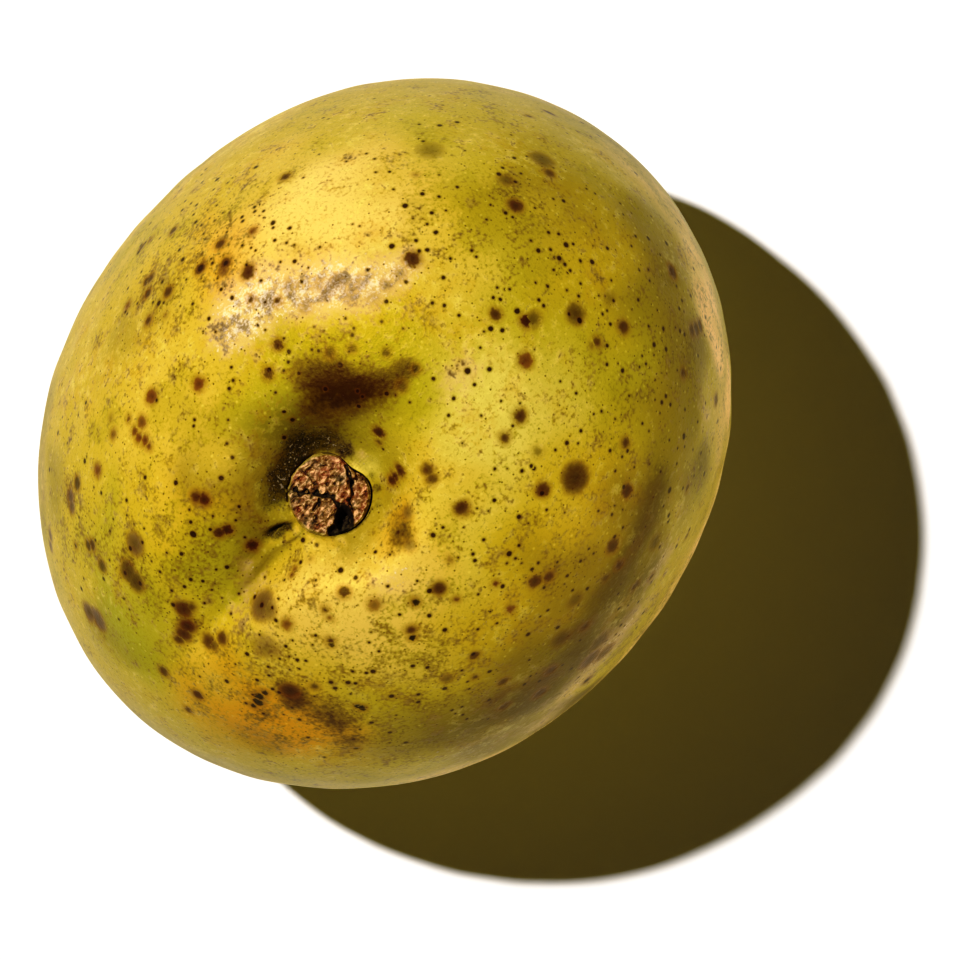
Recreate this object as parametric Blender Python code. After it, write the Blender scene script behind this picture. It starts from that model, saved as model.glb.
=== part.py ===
"""A whole ripe mango, standing on its apex with the stem end up.

The fruit is one closed body. Its plan is an ellipse, longer from the ventral side (-X) to the dorsal side
(+X) than from cheek to cheek (Y). The crown holds a cavity round the stem, and a groove runs from there down
the ventral shoulder. A small beak with a hollow above it marks the old flower end, low on the ventral side,
and the apex is worn to a small flat spot. The dry, broken stub of the stem is a piece of its own, seated in
a round socket at the bottom of the cavity. +Z is up, and the origin is under the middle of the fruit.
"""

import math

import bmesh
import bpy
import numpy as np

MM = 0.001

# Fruit: the driving dimensions
WIDTH = 96.0 * MM  # ventral side to dorsal side
THICKNESS = 83.5 * MM  # cheek to cheek
WIDEST_LEVEL = 49.5 * MM  # height of the widest section over the apex, before the flat spot
CROWN_RISE = 56.5 * MM  # from the widest section to the crown, before the cavity
CROWN_FULLNESS = 2.1  # 2 is an ellipsoid, more gives squarer shoulders
APEX_FULLNESS = 2.05
APEX_TAPER = 0.05  # share by which the plan narrows on its way to the apex
APEX_LEAN = 2.5 * MM  # how far the apex lies towards the ventral side
CROWN_TILT = 0.075  # the dorsal shoulder stands higher than the ventral one
RELIEF_FULL = 0.714  # share of the crown's rise at which its relief has its full height
FLAT_RISE = 1.5 * MM  # how much of the apex the flat spot takes away
FLAT_EDGE = 0.5 * MM  # height over which the skin rounds into the flat spot

# Crown relief: (x, y, reach in x, reach in y, height)
SHOULDER_SWELLS = (
    (-18.0 * MM, -20.0 * MM, 16.0 * MM, 12.0 * MM, 1.4 * MM),
    (10.0 * MM, 27.0 * MM, 22.0 * MM, 10.0 * MM, 1.6 * MM),
    (24.0 * MM, -14.0 * MM, 14.0 * MM, 14.0 * MM, -1.5 * MM),
    (-20.0 * MM, -9.0 * MM, 14.0 * MM, 8.5 * MM, 1.4 * MM),
    (-23.0 * MM, 11.0 * MM, 12.0 * MM, 8.0 * MM, 1.5 * MM),
)

# Stem cavity, round the stem
STEM_X = -10.0 * MM
STEM_Y = 0.2 * MM
BASIN_DEPTH = 5.6 * MM
BASIN_RADIUS = 22.5 * MM
BASIN_FULLNESS = 1.9  # 2 is a round bowl, less gives a wider slope
BASIN_SKEW = 0.12  # the basin reaches further towards the +Y cheek
BASIN_SKEW_ANGLE = math.radians(105)
SEAT_LEVEL = 44.4 * MM  # level skin round the stem, over the widest section
SEAT_RADIUS = 9.4 * MM
SEAT_FLATNESS = 3.6  # 2 is a round hollow, more gives a flatter seat for the stem

# Ventral groove, from the stem towards -X
GROOVE_START = 3.2 * MM
GROOVE_RUN_IN = 4.5 * MM  # length over which its middle reaches its depth
GROOVE_LENGTH = 34.0 * MM
GROOVE_DEPTH = 6.0 * MM
GROOVE_OFFSET = -1.0 * MM
GROOVE_SLOPE = 0.10
GROOVE_GENTLE_SIDE = 6.2 * MM
GROOVE_GENTLE_FULLNESS = 1.2
GROOVE_STEEP_SIDE = 3.0 * MM
GROOVE_STEEP_FULLNESS = 2.0

# Beak and the hollow above it, low on the ventral side, both along lines from one point on the axis
PUSH_ROOT = (0.0, 0.0, 31.2 * MM)
BEAK = (-28.5 * MM, -1.0 * MM, 12.5 * MM)
BEAK_HEIGHT = 1.5 * MM
BEAK_REACH = 8.0 * MM
SINUS = (-40.0 * MM, 0.0, 26.0 * MM)
SINUS_DEPTH = 1.3 * MM
SINUS_REACH = 13.0 * MM

# Slow unevenness of a grown body: (wave length, phase, direction), each of the same small height
UNEVEN_HEIGHT = 0.12 * MM
UNEVEN_WAVES = (
    (47.0 * MM, -0.7, (0.8, 0.5, 0.33)),
    (61.0 * MM, 3.5, (-0.3, 0.9, 0.3)),
    (39.0 * MM, 0.0, (0.5, -0.4, 0.77)),
)

# Stem stub and its socket
STUB_RADIUS = 5.4 * MM
STUB_LENGTH = 4.6 * MM
STUB_PROUD = 1.0 * MM  # how far its face stands over the middle of the cavity
FIT_GAP = 0.3 * MM
STUB_EDGE_DROP = 0.25 * MM  # rounding of the face towards its edge
STUB_EDGE_FORM = 8  # a higher power keeps the rounding nearer the edge
STUB_SQUARENESS = 1.42  # 1 is a ball, more gives a log with a flat face and a straight side
STUB_FACE_START = 0.35  # share of the upper half below which the side keeps its plain shape
STUB_TAPER = 0.04
STUB_DENTS = ((3, 0.6, 0.035), (5, 0.0, 0.02))  # (count round the edge, phase, share of the radius)
LEDGE_DROP = 1.1 * MM  # the crescent that broke away lower
LEDGE_START = 3.4 * MM
LEDGE_STEP = 0.5 * MM
LEDGE_CALM = 0.6  # share of the chips that the crescent lacks
LEDGE_ANGLE = math.radians(-92)
HOLLOW_DEPTH = 2.2 * MM
HOLLOW_REACH = 1.35 * MM
HOLLOW_ANGLE = math.radians(-106)
HOLLOW_OUT = 3.9 * MM
CHIP_HEIGHT = 0.28 * MM
CHIP_LENGTH = 2.6 * MM
COARSE_CHIPS = ((1.0, 0.6, 0.0), (-0.5, 0.8, 1.0))  # two crossing waves: (x, y, phase)
FINE_CHIPS = (0.7, -2.3, 2.0)
FINE_CHIP_SHARE = 0.6

# Mesh fineness
FRUIT_SEGMENTS, FRUIT_RINGS = 84, 56
STUB_SEGMENTS, STUB_RINGS = 40, 26
SOCKET_SEGMENTS = 48
RING_CROWDING = 0.5  # share by which rings crowd together near both poles

FRUIT_COLOUR, FRUIT_ROUGHNESS = (0.53, 0.38, 0.03, 1.0), 0.42
STUB_COLOUR, STUB_ROUGHNESS = (0.16, 0.06, 0.03, 1.0), 0.85


def clear_scene():
    for obj in list(bpy.data.objects):
        bpy.data.objects.remove(obj)


def make_material(name, colour, roughness):
    material = bpy.data.materials.new(name)
    material.use_nodes = True
    shader = material.node_tree.nodes["Principled BSDF"]
    shader.inputs["Base Color"].default_value = colour
    shader.inputs["Roughness"].default_value = roughness
    shader.inputs["Metallic"].default_value = 0.0
    return material


def smooth_step(t):
    """0 below 0, 1 above 1, and a smooth rise between them."""
    t = np.clip(t, 0.0, 1.0)
    return t * t * (3.0 - 2.0 * t)


def hill(x, y, centre_x, centre_y, reach_x, reach_y):
    """A round hill of height 1 on a plan."""
    return np.exp(-(((x - centre_x) / reach_x) ** 2) - ((y - centre_y) / reach_y) ** 2)


def body_points(polar, azimuth):
    """The plain body: an elliptic plan, with a superellipse for its crown and another for its apex.

    Rings are round near the stem and elliptic at the widest section, and the top pole lies on the stem.
    """
    half_width, half_thickness = WIDTH / 2, THICKNESS / 2
    round_radius = math.sqrt(half_width * half_thickness)
    out, up = np.sin(polar), np.cos(polar)
    roundness = (1.0 - out) ** 3
    reach_x = half_width + (round_radius - half_width) * roundness
    reach_y = half_thickness + (round_radius - half_thickness) * roundness
    crown = up > 0
    x = reach_x * out * np.cos(azimuth) + np.where(crown, STEM_X, 0.0) * up * up
    y = reach_y * out * np.sin(azimuth) + np.where(crown, STEM_Y, 0.0) * up * up
    share = np.clip((x / half_width) ** 2 + (y / half_thickness) ** 2, 0.0, 1.0)
    fullness = np.where(crown, CROWN_FULLNESS, APEX_FULLNESS)
    rise = np.where(crown, CROWN_RISE, -WIDEST_LEVEL)
    z = WIDEST_LEVEL + rise * (1.0 - share ** (fullness / 2)) ** (1.0 / fullness)
    down = np.clip((WIDEST_LEVEL - z) / WIDEST_LEVEL, 0.0, 1.0)
    narrowing = 1.0 - APEX_TAPER * down**2
    return x * narrowing - APEX_LEAN * down**2, y * narrowing, z


def crown_relief(x, y):
    """Height to add on the crown: the shoulders, then the basin round the stem, then the groove."""
    height = CROWN_TILT * x
    for centre_x, centre_y, reach_x, reach_y, swell in SHOULDER_SWELLS:
        height = height + swell * hill(x, y, centre_x, centre_y, reach_x, reach_y)
    from_stem_x, from_stem_y = x - STEM_X, y - STEM_Y
    distance = np.hypot(from_stem_x, from_stem_y)
    bearing = np.arctan2(from_stem_y, from_stem_x)
    basin_radius = BASIN_RADIUS * (1.0 + BASIN_SKEW * np.cos(bearing - BASIN_SKEW_ANGLE))
    height = height - BASIN_DEPTH * np.exp(-((distance / basin_radius) ** BASIN_FULLNESS))
    along = (-from_stem_x - GROOVE_START) / GROOVE_LENGTH
    across = from_stem_y - GROOVE_OFFSET + GROOVE_SLOPE * from_stem_x
    gentle = np.exp(-((np.abs(across) / GROOVE_GENTLE_SIDE) ** GROOVE_GENTLE_FULLNESS))
    steep = np.exp(-((np.abs(across) / GROOVE_STEEP_SIDE) ** GROOVE_STEEP_FULLNESS))
    run_in = GROOVE_RUN_IN + np.abs(across)
    fade = smooth_step(along * GROOVE_LENGTH / run_in) * smooth_step(1.0 - along)
    return height - GROOVE_DEPTH * fade * np.where(across > 0, gentle, steep)


def level_seat(x, y, z):
    """Draws the skin near the stem towards one level, which leaves a flat seat with sloping sides."""
    distance = np.hypot(x - STEM_X, y - STEM_Y)
    near = np.exp(-((distance / SEAT_RADIUS) ** SEAT_FLATNESS))
    near = near * (z > WIDEST_LEVEL)
    return z + near * (WIDEST_LEVEL + SEAT_LEVEL - z)


def push_out(points, centre, reach, height):
    """Moves points near a centre away from a root on the axis, or towards it for a negative height."""
    x, y, z = points
    near = sum((p - c) ** 2 for p, c in zip(points, centre)) / reach**2
    push = height * np.exp(-near)
    line = np.array(centre) - np.array(PUSH_ROOT)
    line = line / np.linalg.norm(line)
    return x + push * line[0], y + push * line[1], z + push * line[2]


def uneven(points):
    """Slow waves over the whole body, a fraction of a millimetre high."""
    x, y, z = points
    wave = sum(
        np.sin(2 * math.pi * (x * d[0] + y * d[1] + z * d[2]) / length + phase)
        for length, phase, d in UNEVEN_WAVES
    )
    reach = np.sqrt(x**2 + y**2 + (z - WIDEST_LEVEL) ** 2) + MM
    grow = 1.0 + UNEVEN_HEIGHT * wave / reach
    return x * grow, y * grow, WIDEST_LEVEL + (z - WIDEST_LEVEL) * grow


def worn_flat(z):
    """Levels whatever lies lower than the flat spot, and rounds the skin into it."""
    over = np.clip((z - FLAT_RISE) / FLAT_EDGE, -1.0, 1.0)
    rounded = FLAT_RISE + FLAT_EDGE * (over + 1.0) ** 2 / 4
    return np.where(z > FLAT_RISE + FLAT_EDGE, z, rounded)


def fruit_points(polar, azimuth):
    """The fruit's skin for a polar angle from the stem and an azimuth round it."""
    x, y, z = body_points(polar, azimuth)
    on_crown = smooth_step((z - WIDEST_LEVEL) / (RELIEF_FULL * CROWN_RISE))
    z = level_seat(x, y, z + on_crown * crown_relief(x, y))
    points = push_out((x, y, z), SINUS, SINUS_REACH, -SINUS_DEPTH)
    points = push_out(points, BEAK, BEAK_REACH, BEAK_HEIGHT)
    x, y, z = uneven(points)
    return x, y, worn_flat(z)


def crowded(share):
    """A polar angle for each ring: rings lie closer together near the stem and near the apex."""
    return math.pi * (share - RING_CROWDING * np.sin(2 * math.pi * share) / (2 * math.pi))


def reshaped_sphere(name, segments, rings, formula):
    """A UV sphere whose points are moved to where formula(polar, azimuth) puts them."""
    bm = bmesh.new()
    bmesh.ops.create_uvsphere(bm, u_segments=segments, v_segments=rings, radius=1.0)
    mesh = bpy.data.meshes.new(name)
    bm.to_mesh(mesh)
    bm.free()
    points = np.empty(len(mesh.vertices) * 3, np.float32)
    mesh.vertices.foreach_get("co", points)
    sphere = points.reshape(-1, 3).astype(float)
    polar = np.arccos(np.clip(sphere[:, 2], -1.0, 1.0))
    azimuth = np.arctan2(sphere[:, 1], sphere[:, 0])
    moved = np.stack(formula(polar, azimuth), axis=1)
    mesh.vertices.foreach_set("co", moved.astype(np.float32).ravel())
    mesh.update()
    mesh.shade_smooth()
    return mesh


def add_object(name, mesh, collection, place, material=None):
    obj = bpy.data.objects.new(name, mesh)
    obj.location = place
    collection.objects.link(obj)
    if material:
        mesh.materials.append(material)
    return obj


def make_fruit(collection, place):
    mesh = reshaped_sphere(
        "fruit",
        FRUIT_SEGMENTS,
        FRUIT_RINGS,
        lambda polar, azimuth: fruit_points(crowded(polar / math.pi), azimuth),
    )
    skin = make_material("ripe mango skin", FRUIT_COLOUR, FRUIT_ROUGHNESS)
    return add_object("fruit", mesh, collection, place, skin)


def make_socket_cutter(collection, place, face_level):
    """The round recess that the stub sits in, a little wider and deeper than the stub."""
    depth = STUB_LENGTH + FIT_GAP
    bm = bmesh.new()
    bmesh.ops.create_cone(
        bm,
        cap_ends=True,
        segments=SOCKET_SEGMENTS,
        radius1=STUB_RADIUS + FIT_GAP,
        radius2=STUB_RADIUS + FIT_GAP,
        depth=2 * depth,
    )
    mesh = bpy.data.meshes.new("socket_cutter")
    bm.to_mesh(mesh)
    bm.free()
    cutter = add_object("socket_cutter", mesh, collection, place)
    cutter.location.x += STEM_X
    cutter.location.y += STEM_Y
    cutter.location.z += face_level
    cutter.hide_render = True
    cutter.display_type = "WIRE"
    return cutter


def cut_socket(fruit, cutter):
    socket = fruit.modifiers.new("stem socket", "BOOLEAN")
    socket.operation = "DIFFERENCE"
    socket.solver = "EXACT"
    socket.object = cutter


def stub_face(x, y):
    """Height of the broken face: a raised block of wood, a lower crescent beside it and a dark hollow."""
    ledge_side = x * math.cos(LEDGE_ANGLE) + y * math.sin(LEDGE_ANGLE)
    ledge = smooth_step((ledge_side - LEDGE_START) / LEDGE_STEP)
    hollow_x = HOLLOW_OUT * math.cos(HOLLOW_ANGLE)
    hollow_y = HOLLOW_OUT * math.sin(HOLLOW_ANGLE)
    hollow = hill(x, y, hollow_x, hollow_y, HOLLOW_REACH, HOLLOW_REACH)
    turn_x, turn_y = 2 * math.pi * x / CHIP_LENGTH, 2 * math.pi * y / CHIP_LENGTH
    first, second = (np.sin(turn_x * a + turn_y * b + phase) for a, b, phase in COARSE_CHIPS)
    a, b, phase = FINE_CHIPS
    chips = first * second + FINE_CHIP_SHARE * np.sin(turn_x * a + turn_y * b + phase)
    chips = chips * (1.0 - LEDGE_CALM * ledge)
    return CHIP_HEIGHT * chips - LEDGE_DROP * ledge - HOLLOW_DEPTH * hollow


def stub_points(polar, azimuth):
    """A short log: the top pole's half of the sphere is its face and upper side, the rest its foot."""
    out = np.minimum(1.0, STUB_SQUARENESS * np.sin(polar))
    up = np.clip(STUB_SQUARENESS * np.cos(polar), -1.0, 1.0)
    dents = sum(share * (1.0 + np.sin(count * azimuth + phase)) / 2 for count, phase, share in STUB_DENTS)
    foot = (1.0 - up) / 2
    radius = STUB_RADIUS * out * (1.0 - dents) * (1.0 - STUB_TAPER * foot)
    x, y = radius * np.cos(azimuth), radius * np.sin(azimuth)
    face = smooth_step((up - STUB_FACE_START) / (1.0 - STUB_FACE_START))
    rounding = STUB_EDGE_DROP * out**STUB_EDGE_FORM
    return x, y, face * (stub_face(x, y) - rounding) - STUB_LENGTH * foot


def make_stub(collection, place, face_level):
    mesh = reshaped_sphere("stem_stub", STUB_SEGMENTS, STUB_RINGS, stub_points)
    wood = make_material("dry stem wood", STUB_COLOUR, STUB_ROUGHNESS)
    stub = add_object("stem_stub", mesh, collection, place, wood)
    stub.location.x += STEM_X
    stub.location.y += STEM_Y
    stub.location.z += face_level
    return stub


def origin_shift(obj_points):
    """From the modelling axes to the origin: the middle of the plan, and the level of the flat spot."""
    x, y, z = obj_points
    return (-(x.min() + x.max()) / 2, -(y.min() + y.max()) / 2, -z.min())


def main():
    clear_scene()
    parts = bpy.data.collections.new("mango")
    cutters = bpy.data.collections.new("cutters")
    bpy.context.scene.collection.children.link(parts)
    bpy.context.scene.collection.children.link(cutters)
    polar, azimuth = np.meshgrid(
        np.linspace(0.0, math.pi, FRUIT_RINGS + 1),
        np.linspace(0.0, 2 * math.pi, FRUIT_SEGMENTS, endpoint=False),
    )
    place = origin_shift(fruit_points(crowded(polar / math.pi), azimuth))
    stem_level = float(fruit_points(np.zeros(1), np.zeros(1))[2][0])
    face_level = stem_level + STUB_PROUD
    fruit = make_fruit(parts, place)
    cutter = make_socket_cutter(cutters, place, face_level)
    cut_socket(fruit, cutter)
    make_stub(parts, place, face_level)


main()
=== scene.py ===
import math

import bpy
import numpy as np
from mathutils import Matrix, Vector


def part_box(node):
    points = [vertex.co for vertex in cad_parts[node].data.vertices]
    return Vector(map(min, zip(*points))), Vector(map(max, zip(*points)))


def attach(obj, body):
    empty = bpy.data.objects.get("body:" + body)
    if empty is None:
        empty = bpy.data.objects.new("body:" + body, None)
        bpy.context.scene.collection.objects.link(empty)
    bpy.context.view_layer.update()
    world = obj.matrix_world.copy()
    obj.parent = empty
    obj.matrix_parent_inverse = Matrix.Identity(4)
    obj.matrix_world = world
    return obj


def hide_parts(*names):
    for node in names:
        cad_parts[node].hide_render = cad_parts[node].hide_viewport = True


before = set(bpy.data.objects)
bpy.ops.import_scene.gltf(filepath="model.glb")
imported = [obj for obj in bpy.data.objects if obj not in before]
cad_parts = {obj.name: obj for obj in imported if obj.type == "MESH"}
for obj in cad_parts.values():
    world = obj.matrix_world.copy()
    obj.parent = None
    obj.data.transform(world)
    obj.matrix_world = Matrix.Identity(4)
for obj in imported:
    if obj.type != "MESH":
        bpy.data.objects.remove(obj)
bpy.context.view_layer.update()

# Lengths are in millimetres until a mesh is made. +Z runs up to the stem, -X is the ventral side.
mm = 0.001
print("mango: the frame is loaded")

# The photograph looks straight down. Its pixels are in a 960 x 960 frame.
photo = dict(
    roll=50.2,  # degrees from the picture's right-hand side to the fruit's +X, anticlockwise
    mmPerPixel=0.1284,  # at the widest section
    planPixel=(385.3, 435.9),  # the middle of the fruit's plan
    axisPixel=(480.0, 480.0),  # where the camera's axis meets the picture
    widestLevel=48.0,
    cameraRise=1300.0,  # from the widest section to the camera
    sensorWidth=36.0,
)


def screenAxes():
    # The picture's right and its up, as directions on the fruit's plan
    roll = math.radians(photo["roll"])
    right = np.array([math.cos(roll), -math.sin(roll)])
    up = np.array([math.sin(roll), math.cos(roll)])
    return right, up


def cameraPlace():
    # From the middle of the plan to the camera's axis, on the widest section
    right, up = screenAxes()
    across, down = np.subtract(photo["axisPixel"], photo["planPixel"]) * photo["mmPerPixel"]
    return right * across - up * down


def toPixels(points):
    # Distance from the camera's axis, enlarged for a point that lies nearer to the camera
    right, up = screenAxes()
    offset = points[..., :2] - cameraPlace()
    rise = photo["cameraRise"]
    scale = rise / (rise - points[..., 2] + photo["widestLevel"]) / photo["mmPerPixel"]
    across = photo["axisPixel"][0] + offset @ right * scale
    down = photo["axisPixel"][1] - offset @ up * scale
    return np.stack([across, down], axis=-1)


def smoothStep(t):
    # From 0 to 1 with level ends: three times the square, less twice the cube
    t = np.clip(t, 0.0, 1.0)
    return t * t * (3.0 - 2.0 * t)


def waves(places, length, count, seed):
    # An uneven field about 0: sine waves of one length, with directions and starts drawn at random
    draw = np.random.default_rng(seed)
    directions = draw.normal(size=(count, places.shape[-1]))
    directions /= np.linalg.norm(directions, axis=1)[:, None]
    turns = places @ directions.T * (2 * math.pi / length) + draw.uniform(0, 2 * math.pi, count)
    return np.sin(turns).sum(axis=-1) * math.sqrt(2 / count)


def surfaceNormals(grid):
    # On a grid of rings: the direction round the ring crossed with the direction from ring to ring
    around = np.roll(grid, -1, axis=1) - np.roll(grid, 1, axis=1)
    down = np.gradient(grid, axis=0)
    normal = np.cross(down, around)
    return normal / np.maximum(np.linalg.norm(normal, axis=-1, keepdims=True), 1e-9)


def closedGrid(name, top, grid, bottom):
    # Rings of points run down from the top pole to the bottom pole, each ring anticlockwise from above
    rings, segments = grid.shape[:2]
    points = np.concatenate([[top], grid.reshape(-1, 3), [bottom]]) * mm
    first = 1 + np.arange(segments)
    nextOne = 1 + (np.arange(segments) + 1) % segments
    step = (np.arange(rings - 1) * segments)[:, None]
    sides = [first + step, first + step + segments, nextOne + step + segments, nextOne + step]
    last = (rings - 1) * segments
    topFan = np.stack([np.zeros(segments, int), first, nextOne], axis=-1)
    bottomPole = np.full(segments, len(points) - 1)
    bottomFan = np.stack([bottomPole, nextOne + last, first + last], axis=-1)
    faces = topFan.tolist() + np.stack(sides, axis=-1).reshape(-1, 4).tolist() + bottomFan.tolist()
    mesh = bpy.data.meshes.new(name)
    mesh.from_pydata(points.tolist(), [], faces)
    mesh.shade_smooth()
    piece = bpy.data.objects.new(name, mesh)
    bpy.context.collection.objects.link(piece)
    return piece


def setAttribute(piece, name, kind, values, domain="POINT"):
    # values has one row for each vertex, or for each face where domain is FACE
    attribute = piece.data.attributes.new(name, kind, domain)
    field = {"FLOAT": "value", "FLOAT_VECTOR": "vector", "FLOAT_COLOR": "color"}[kind]
    attribute.data.foreach_set(field, np.ascontiguousarray(values, np.float32).ravel())


def linearColour(hexCode):
    # sRGB hex to linear: a straight toe, then a power of 2.4
    parts = [int(hexCode[i:i + 2], 16) / 255 for i in (1, 3, 5)]
    linear = [c / 12.92 if c <= 0.04045 else ((c + 0.055) / 1.055) ** 2.4 for c in parts]
    return (*linear, 1.0)


def scaleFor(sizeMm):
    # A texture's scale, in cells per metre, for a pattern whose cells have this size
    return 1.0 / (sizeMm * mm)


def addNode(tree, kind, inputs=None, **settings):
    # Adds a node with its settings, then links or sets each named input
    node = tree.nodes.new(kind)
    for key, value in settings.items():
        setattr(node, key, value)
    for key, value in (inputs or {}).items():
        if isinstance(value, bpy.types.NodeSocket):
            tree.links.new(value, node.inputs[key])
        else:
            node.inputs[key].default_value = value
    return node


def startMaterial(name):
    # An empty material, to which its nodes are then added
    material = bpy.data.materials.new(name)
    material.use_nodes = True
    tree = material.node_tree
    tree.nodes.clear()
    return material, tree


# Fruit: one skin that runs from the floor of the stem's socket over its lip to the apex
fruit = dict(
    width=96.0,  # ventral to dorsal side
    thickness=83.5,  # cheek to cheek
    widestLevel=49.5,
    crownRise=56.5,  # from the widest section up to the crown, before its relief
    crownFullness=2.1,  # 2 is an ellipsoid, more gives squarer shoulders
    apexFullness=2.05,
    apexTaper=0.05,  # share by which the plan narrows towards the apex
    apexLean=2.5,  # how far the apex lies towards the ventral side
    crownTilt=0.075,  # rise of the crown towards the dorsal side, for each millimetre of x
    reliefFull=0.714,  # share of the crown's rise above which its relief has its full height
    flatRise=1.5,  # the apex is cut off this far up, and its edge is rounded
    flatEdge=0.5,
    shoulders=(  # x, y, reach in x, reach in y, height
        (-18.0, -20.0, 16.0, 12.0, 1.4),
        (10.0, 27.0, 22.0, 10.0, 1.6),
        (24.0, -14.0, 14.0, 14.0, -1.5),
        (-20.0, -9.0, 14.0, 8.5, 1.4),
        (-23.0, 11.0, 12.0, 8.0, 1.5),
    ),
    stem=(-10.0, 0.2),
    basinDepth=5.6,
    basinRadius=22.5,
    basinFullness=1.9,
    basinSkew=0.12,  # share by which the basin is wider on one side, and the bearing of that side
    basinSkewAngle=105.0,
    seatLevel=44.4,  # of the skin round the stem, above the widest section
    seatRadius=9.4,
    seatFlatness=3.6,
    grooveStart=3.2,  # from the stem's middle
    grooveRunIn=4.5,  # length over which it gets deep
    grooveLength=34.0,
    grooveDepth=6.0,
    grooveOffset=-1.0,
    grooveSlope=0.10,
    grooveGentle=(6.2, 1.2),  # reach of the side towards +Y, and its fullness
    grooveSteep=(3.0, 2.0),
    pushRoot=(0.0, 0.0, 31.2),
    pushes=(  # hollow and beak at the old flower end: place, reach, height
        ((-40.0, 0.0, 26.0), 13.0, -1.3),
        ((-28.5, -1.0, 12.5), 8.0, 1.5),
    ),
    unevenHeight=0.12,
    unevenWaves=(  # length, phase, direction
        (47.0, -0.7, (0.8, 0.5, 0.33)),
        (61.0, 3.5, (-0.3, 0.9, 0.3)),
        (39.0, 0.0, (0.5, -0.4, 0.77)),
    ),
    segments=380,
    socketRings=13,
    crownRings=170,
    apexRings=75,
    socketDepth=4.8,
    lipRadius=0.14,
    lipRise=0.16,  # a low bead round the stub, its distance from it and its reach
    lipOut=0.7,
    lipReach=0.6,
    dimple=(7.0, 0.035),  # length and height of the skin's slow dimples
    ripple=(1.5, 0.03),  # fine wrinkles near the stem and the groove
    rippleReach=11.0,
)


def bodyPoints(polar, azimuth):
    # An elliptic plan, with a superellipse for the crown and another for the apex
    halfWidth, halfThickness = fruit["width"] / 2, fruit["thickness"] / 2
    roundRadius = math.sqrt(halfWidth * halfThickness)
    out, up = np.sin(polar), np.cos(polar)
    roundness = (1.0 - out) ** 3
    reachX = halfWidth + (roundRadius - halfWidth) * roundness
    reachY = halfThickness + (roundRadius - halfThickness) * roundness
    crown = up > 0
    x = reachX * out * np.cos(azimuth) + np.where(crown, fruit["stem"][0], 0.0) * up * up
    y = reachY * out * np.sin(azimuth) + np.where(crown, fruit["stem"][1], 0.0) * up * up
    share = np.clip((x / halfWidth) ** 2 + (y / halfThickness) ** 2, 0.0, 1.0)
    fullness = np.where(crown, fruit["crownFullness"], fruit["apexFullness"])
    level = fruit["widestLevel"]
    rise = np.where(crown, fruit["crownRise"], -level)
    z = level + rise * (1.0 - share ** (fullness / 2)) ** (1.0 / fullness)
    down = np.clip((level - z) / level, 0.0, 1.0)
    narrowing = 1.0 - fruit["apexTaper"] * down**2
    return x * narrowing - fruit["apexLean"] * down**2, y * narrowing, z


def crownRelief(x, y):
    # A tilt, round hills for the shoulders, minus a bell for the basin and a trough for the groove
    height = fruit["crownTilt"] * x
    for centreX, centreY, spanX, spanY, swell in fruit["shoulders"]:
        height = height + swell * np.exp(-(((x - centreX) / spanX) ** 2) - ((y - centreY) / spanY) ** 2)
    fromStemX, fromStemY = x - fruit["stem"][0], y - fruit["stem"][1]
    distance = np.hypot(fromStemX, fromStemY)
    bearing = np.arctan2(fromStemY, fromStemX)
    skew = fruit["basinSkew"] * np.cos(bearing - math.radians(fruit["basinSkewAngle"]))
    basin = fruit["basinRadius"] * (1.0 + skew)
    height = height - fruit["basinDepth"] * np.exp(-((distance / basin) ** fruit["basinFullness"]))
    length = fruit["grooveLength"]
    along = (-fromStemX - fruit["grooveStart"]) / length
    across = fromStemY - fruit["grooveOffset"] + fruit["grooveSlope"] * fromStemX
    walls = fruit["grooveGentle"], fruit["grooveSteep"]
    sides = [np.exp(-((np.abs(across) / reach) ** fullness)) for reach, fullness in walls]
    fade = smoothStep(along * length / (fruit["grooveRunIn"] + np.abs(across))) * smoothStep(1.0 - along)
    return height - fruit["grooveDepth"] * fade * np.where(across > 0, *sides)


def levelSeat(x, y, z):
    # Draws the skin near the stem towards one level
    distance = np.hypot(x - fruit["stem"][0], y - fruit["stem"][1])
    near = np.exp(-((distance / fruit["seatRadius"]) ** fruit["seatFlatness"]))
    near = near * (z > fruit["widestLevel"])
    return z + near * (fruit["widestLevel"] + fruit["seatLevel"] - z)


def skinPoints(polar, azimuth):
    # The body with its relief, the pushes at the flower end, slow waves and the worn flat spot
    level = fruit["widestLevel"]
    x, y, z = bodyPoints(polar, azimuth)
    onCrown = smoothStep((z - level) / (fruit["reliefFull"] * fruit["crownRise"]))
    z = levelSeat(x, y, z + onCrown * crownRelief(x, y))
    points = np.stack([x, y, z], axis=-1)
    for centre, reach, height in fruit["pushes"]:
        push = height * np.exp(-((points - centre) ** 2).sum(axis=-1) / reach**2)
        line = np.subtract(centre, fruit["pushRoot"])
        points = points + push[..., None] * line / np.linalg.norm(line)
    middle = np.array([0.0, 0.0, level])
    wave = 0.0
    for length, phase, direction in fruit["unevenWaves"]:
        wave = wave + np.sin(2 * math.pi * (points @ direction) / length + phase)
    reach = np.linalg.norm(points - middle, axis=-1) + 1.0
    points = middle + (points - middle) * (1.0 + fruit["unevenHeight"] * wave / reach)[..., None]
    flat, edge = fruit["flatRise"], fruit["flatEdge"]
    over = np.clip((points[..., 2] - flat) / edge, -1.0, 1.0)
    rounded = flat + edge * (over + 1.0) ** 2 / 4
    points[..., 2] = np.where(points[..., 2] > flat + edge, points[..., 2], rounded)
    return points


def socketEdge(azimuth):
    # Radius of the skin's edge round the stub: close on most sides, open on the side of the ledge
    opening = smoothStep(np.cos(azimuth + math.radians(photo["roll"] - stub["gapAngle"])))
    return stubRadius(azimuth) + stub["closeGap"] + stub["openGap"] * opening


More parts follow.
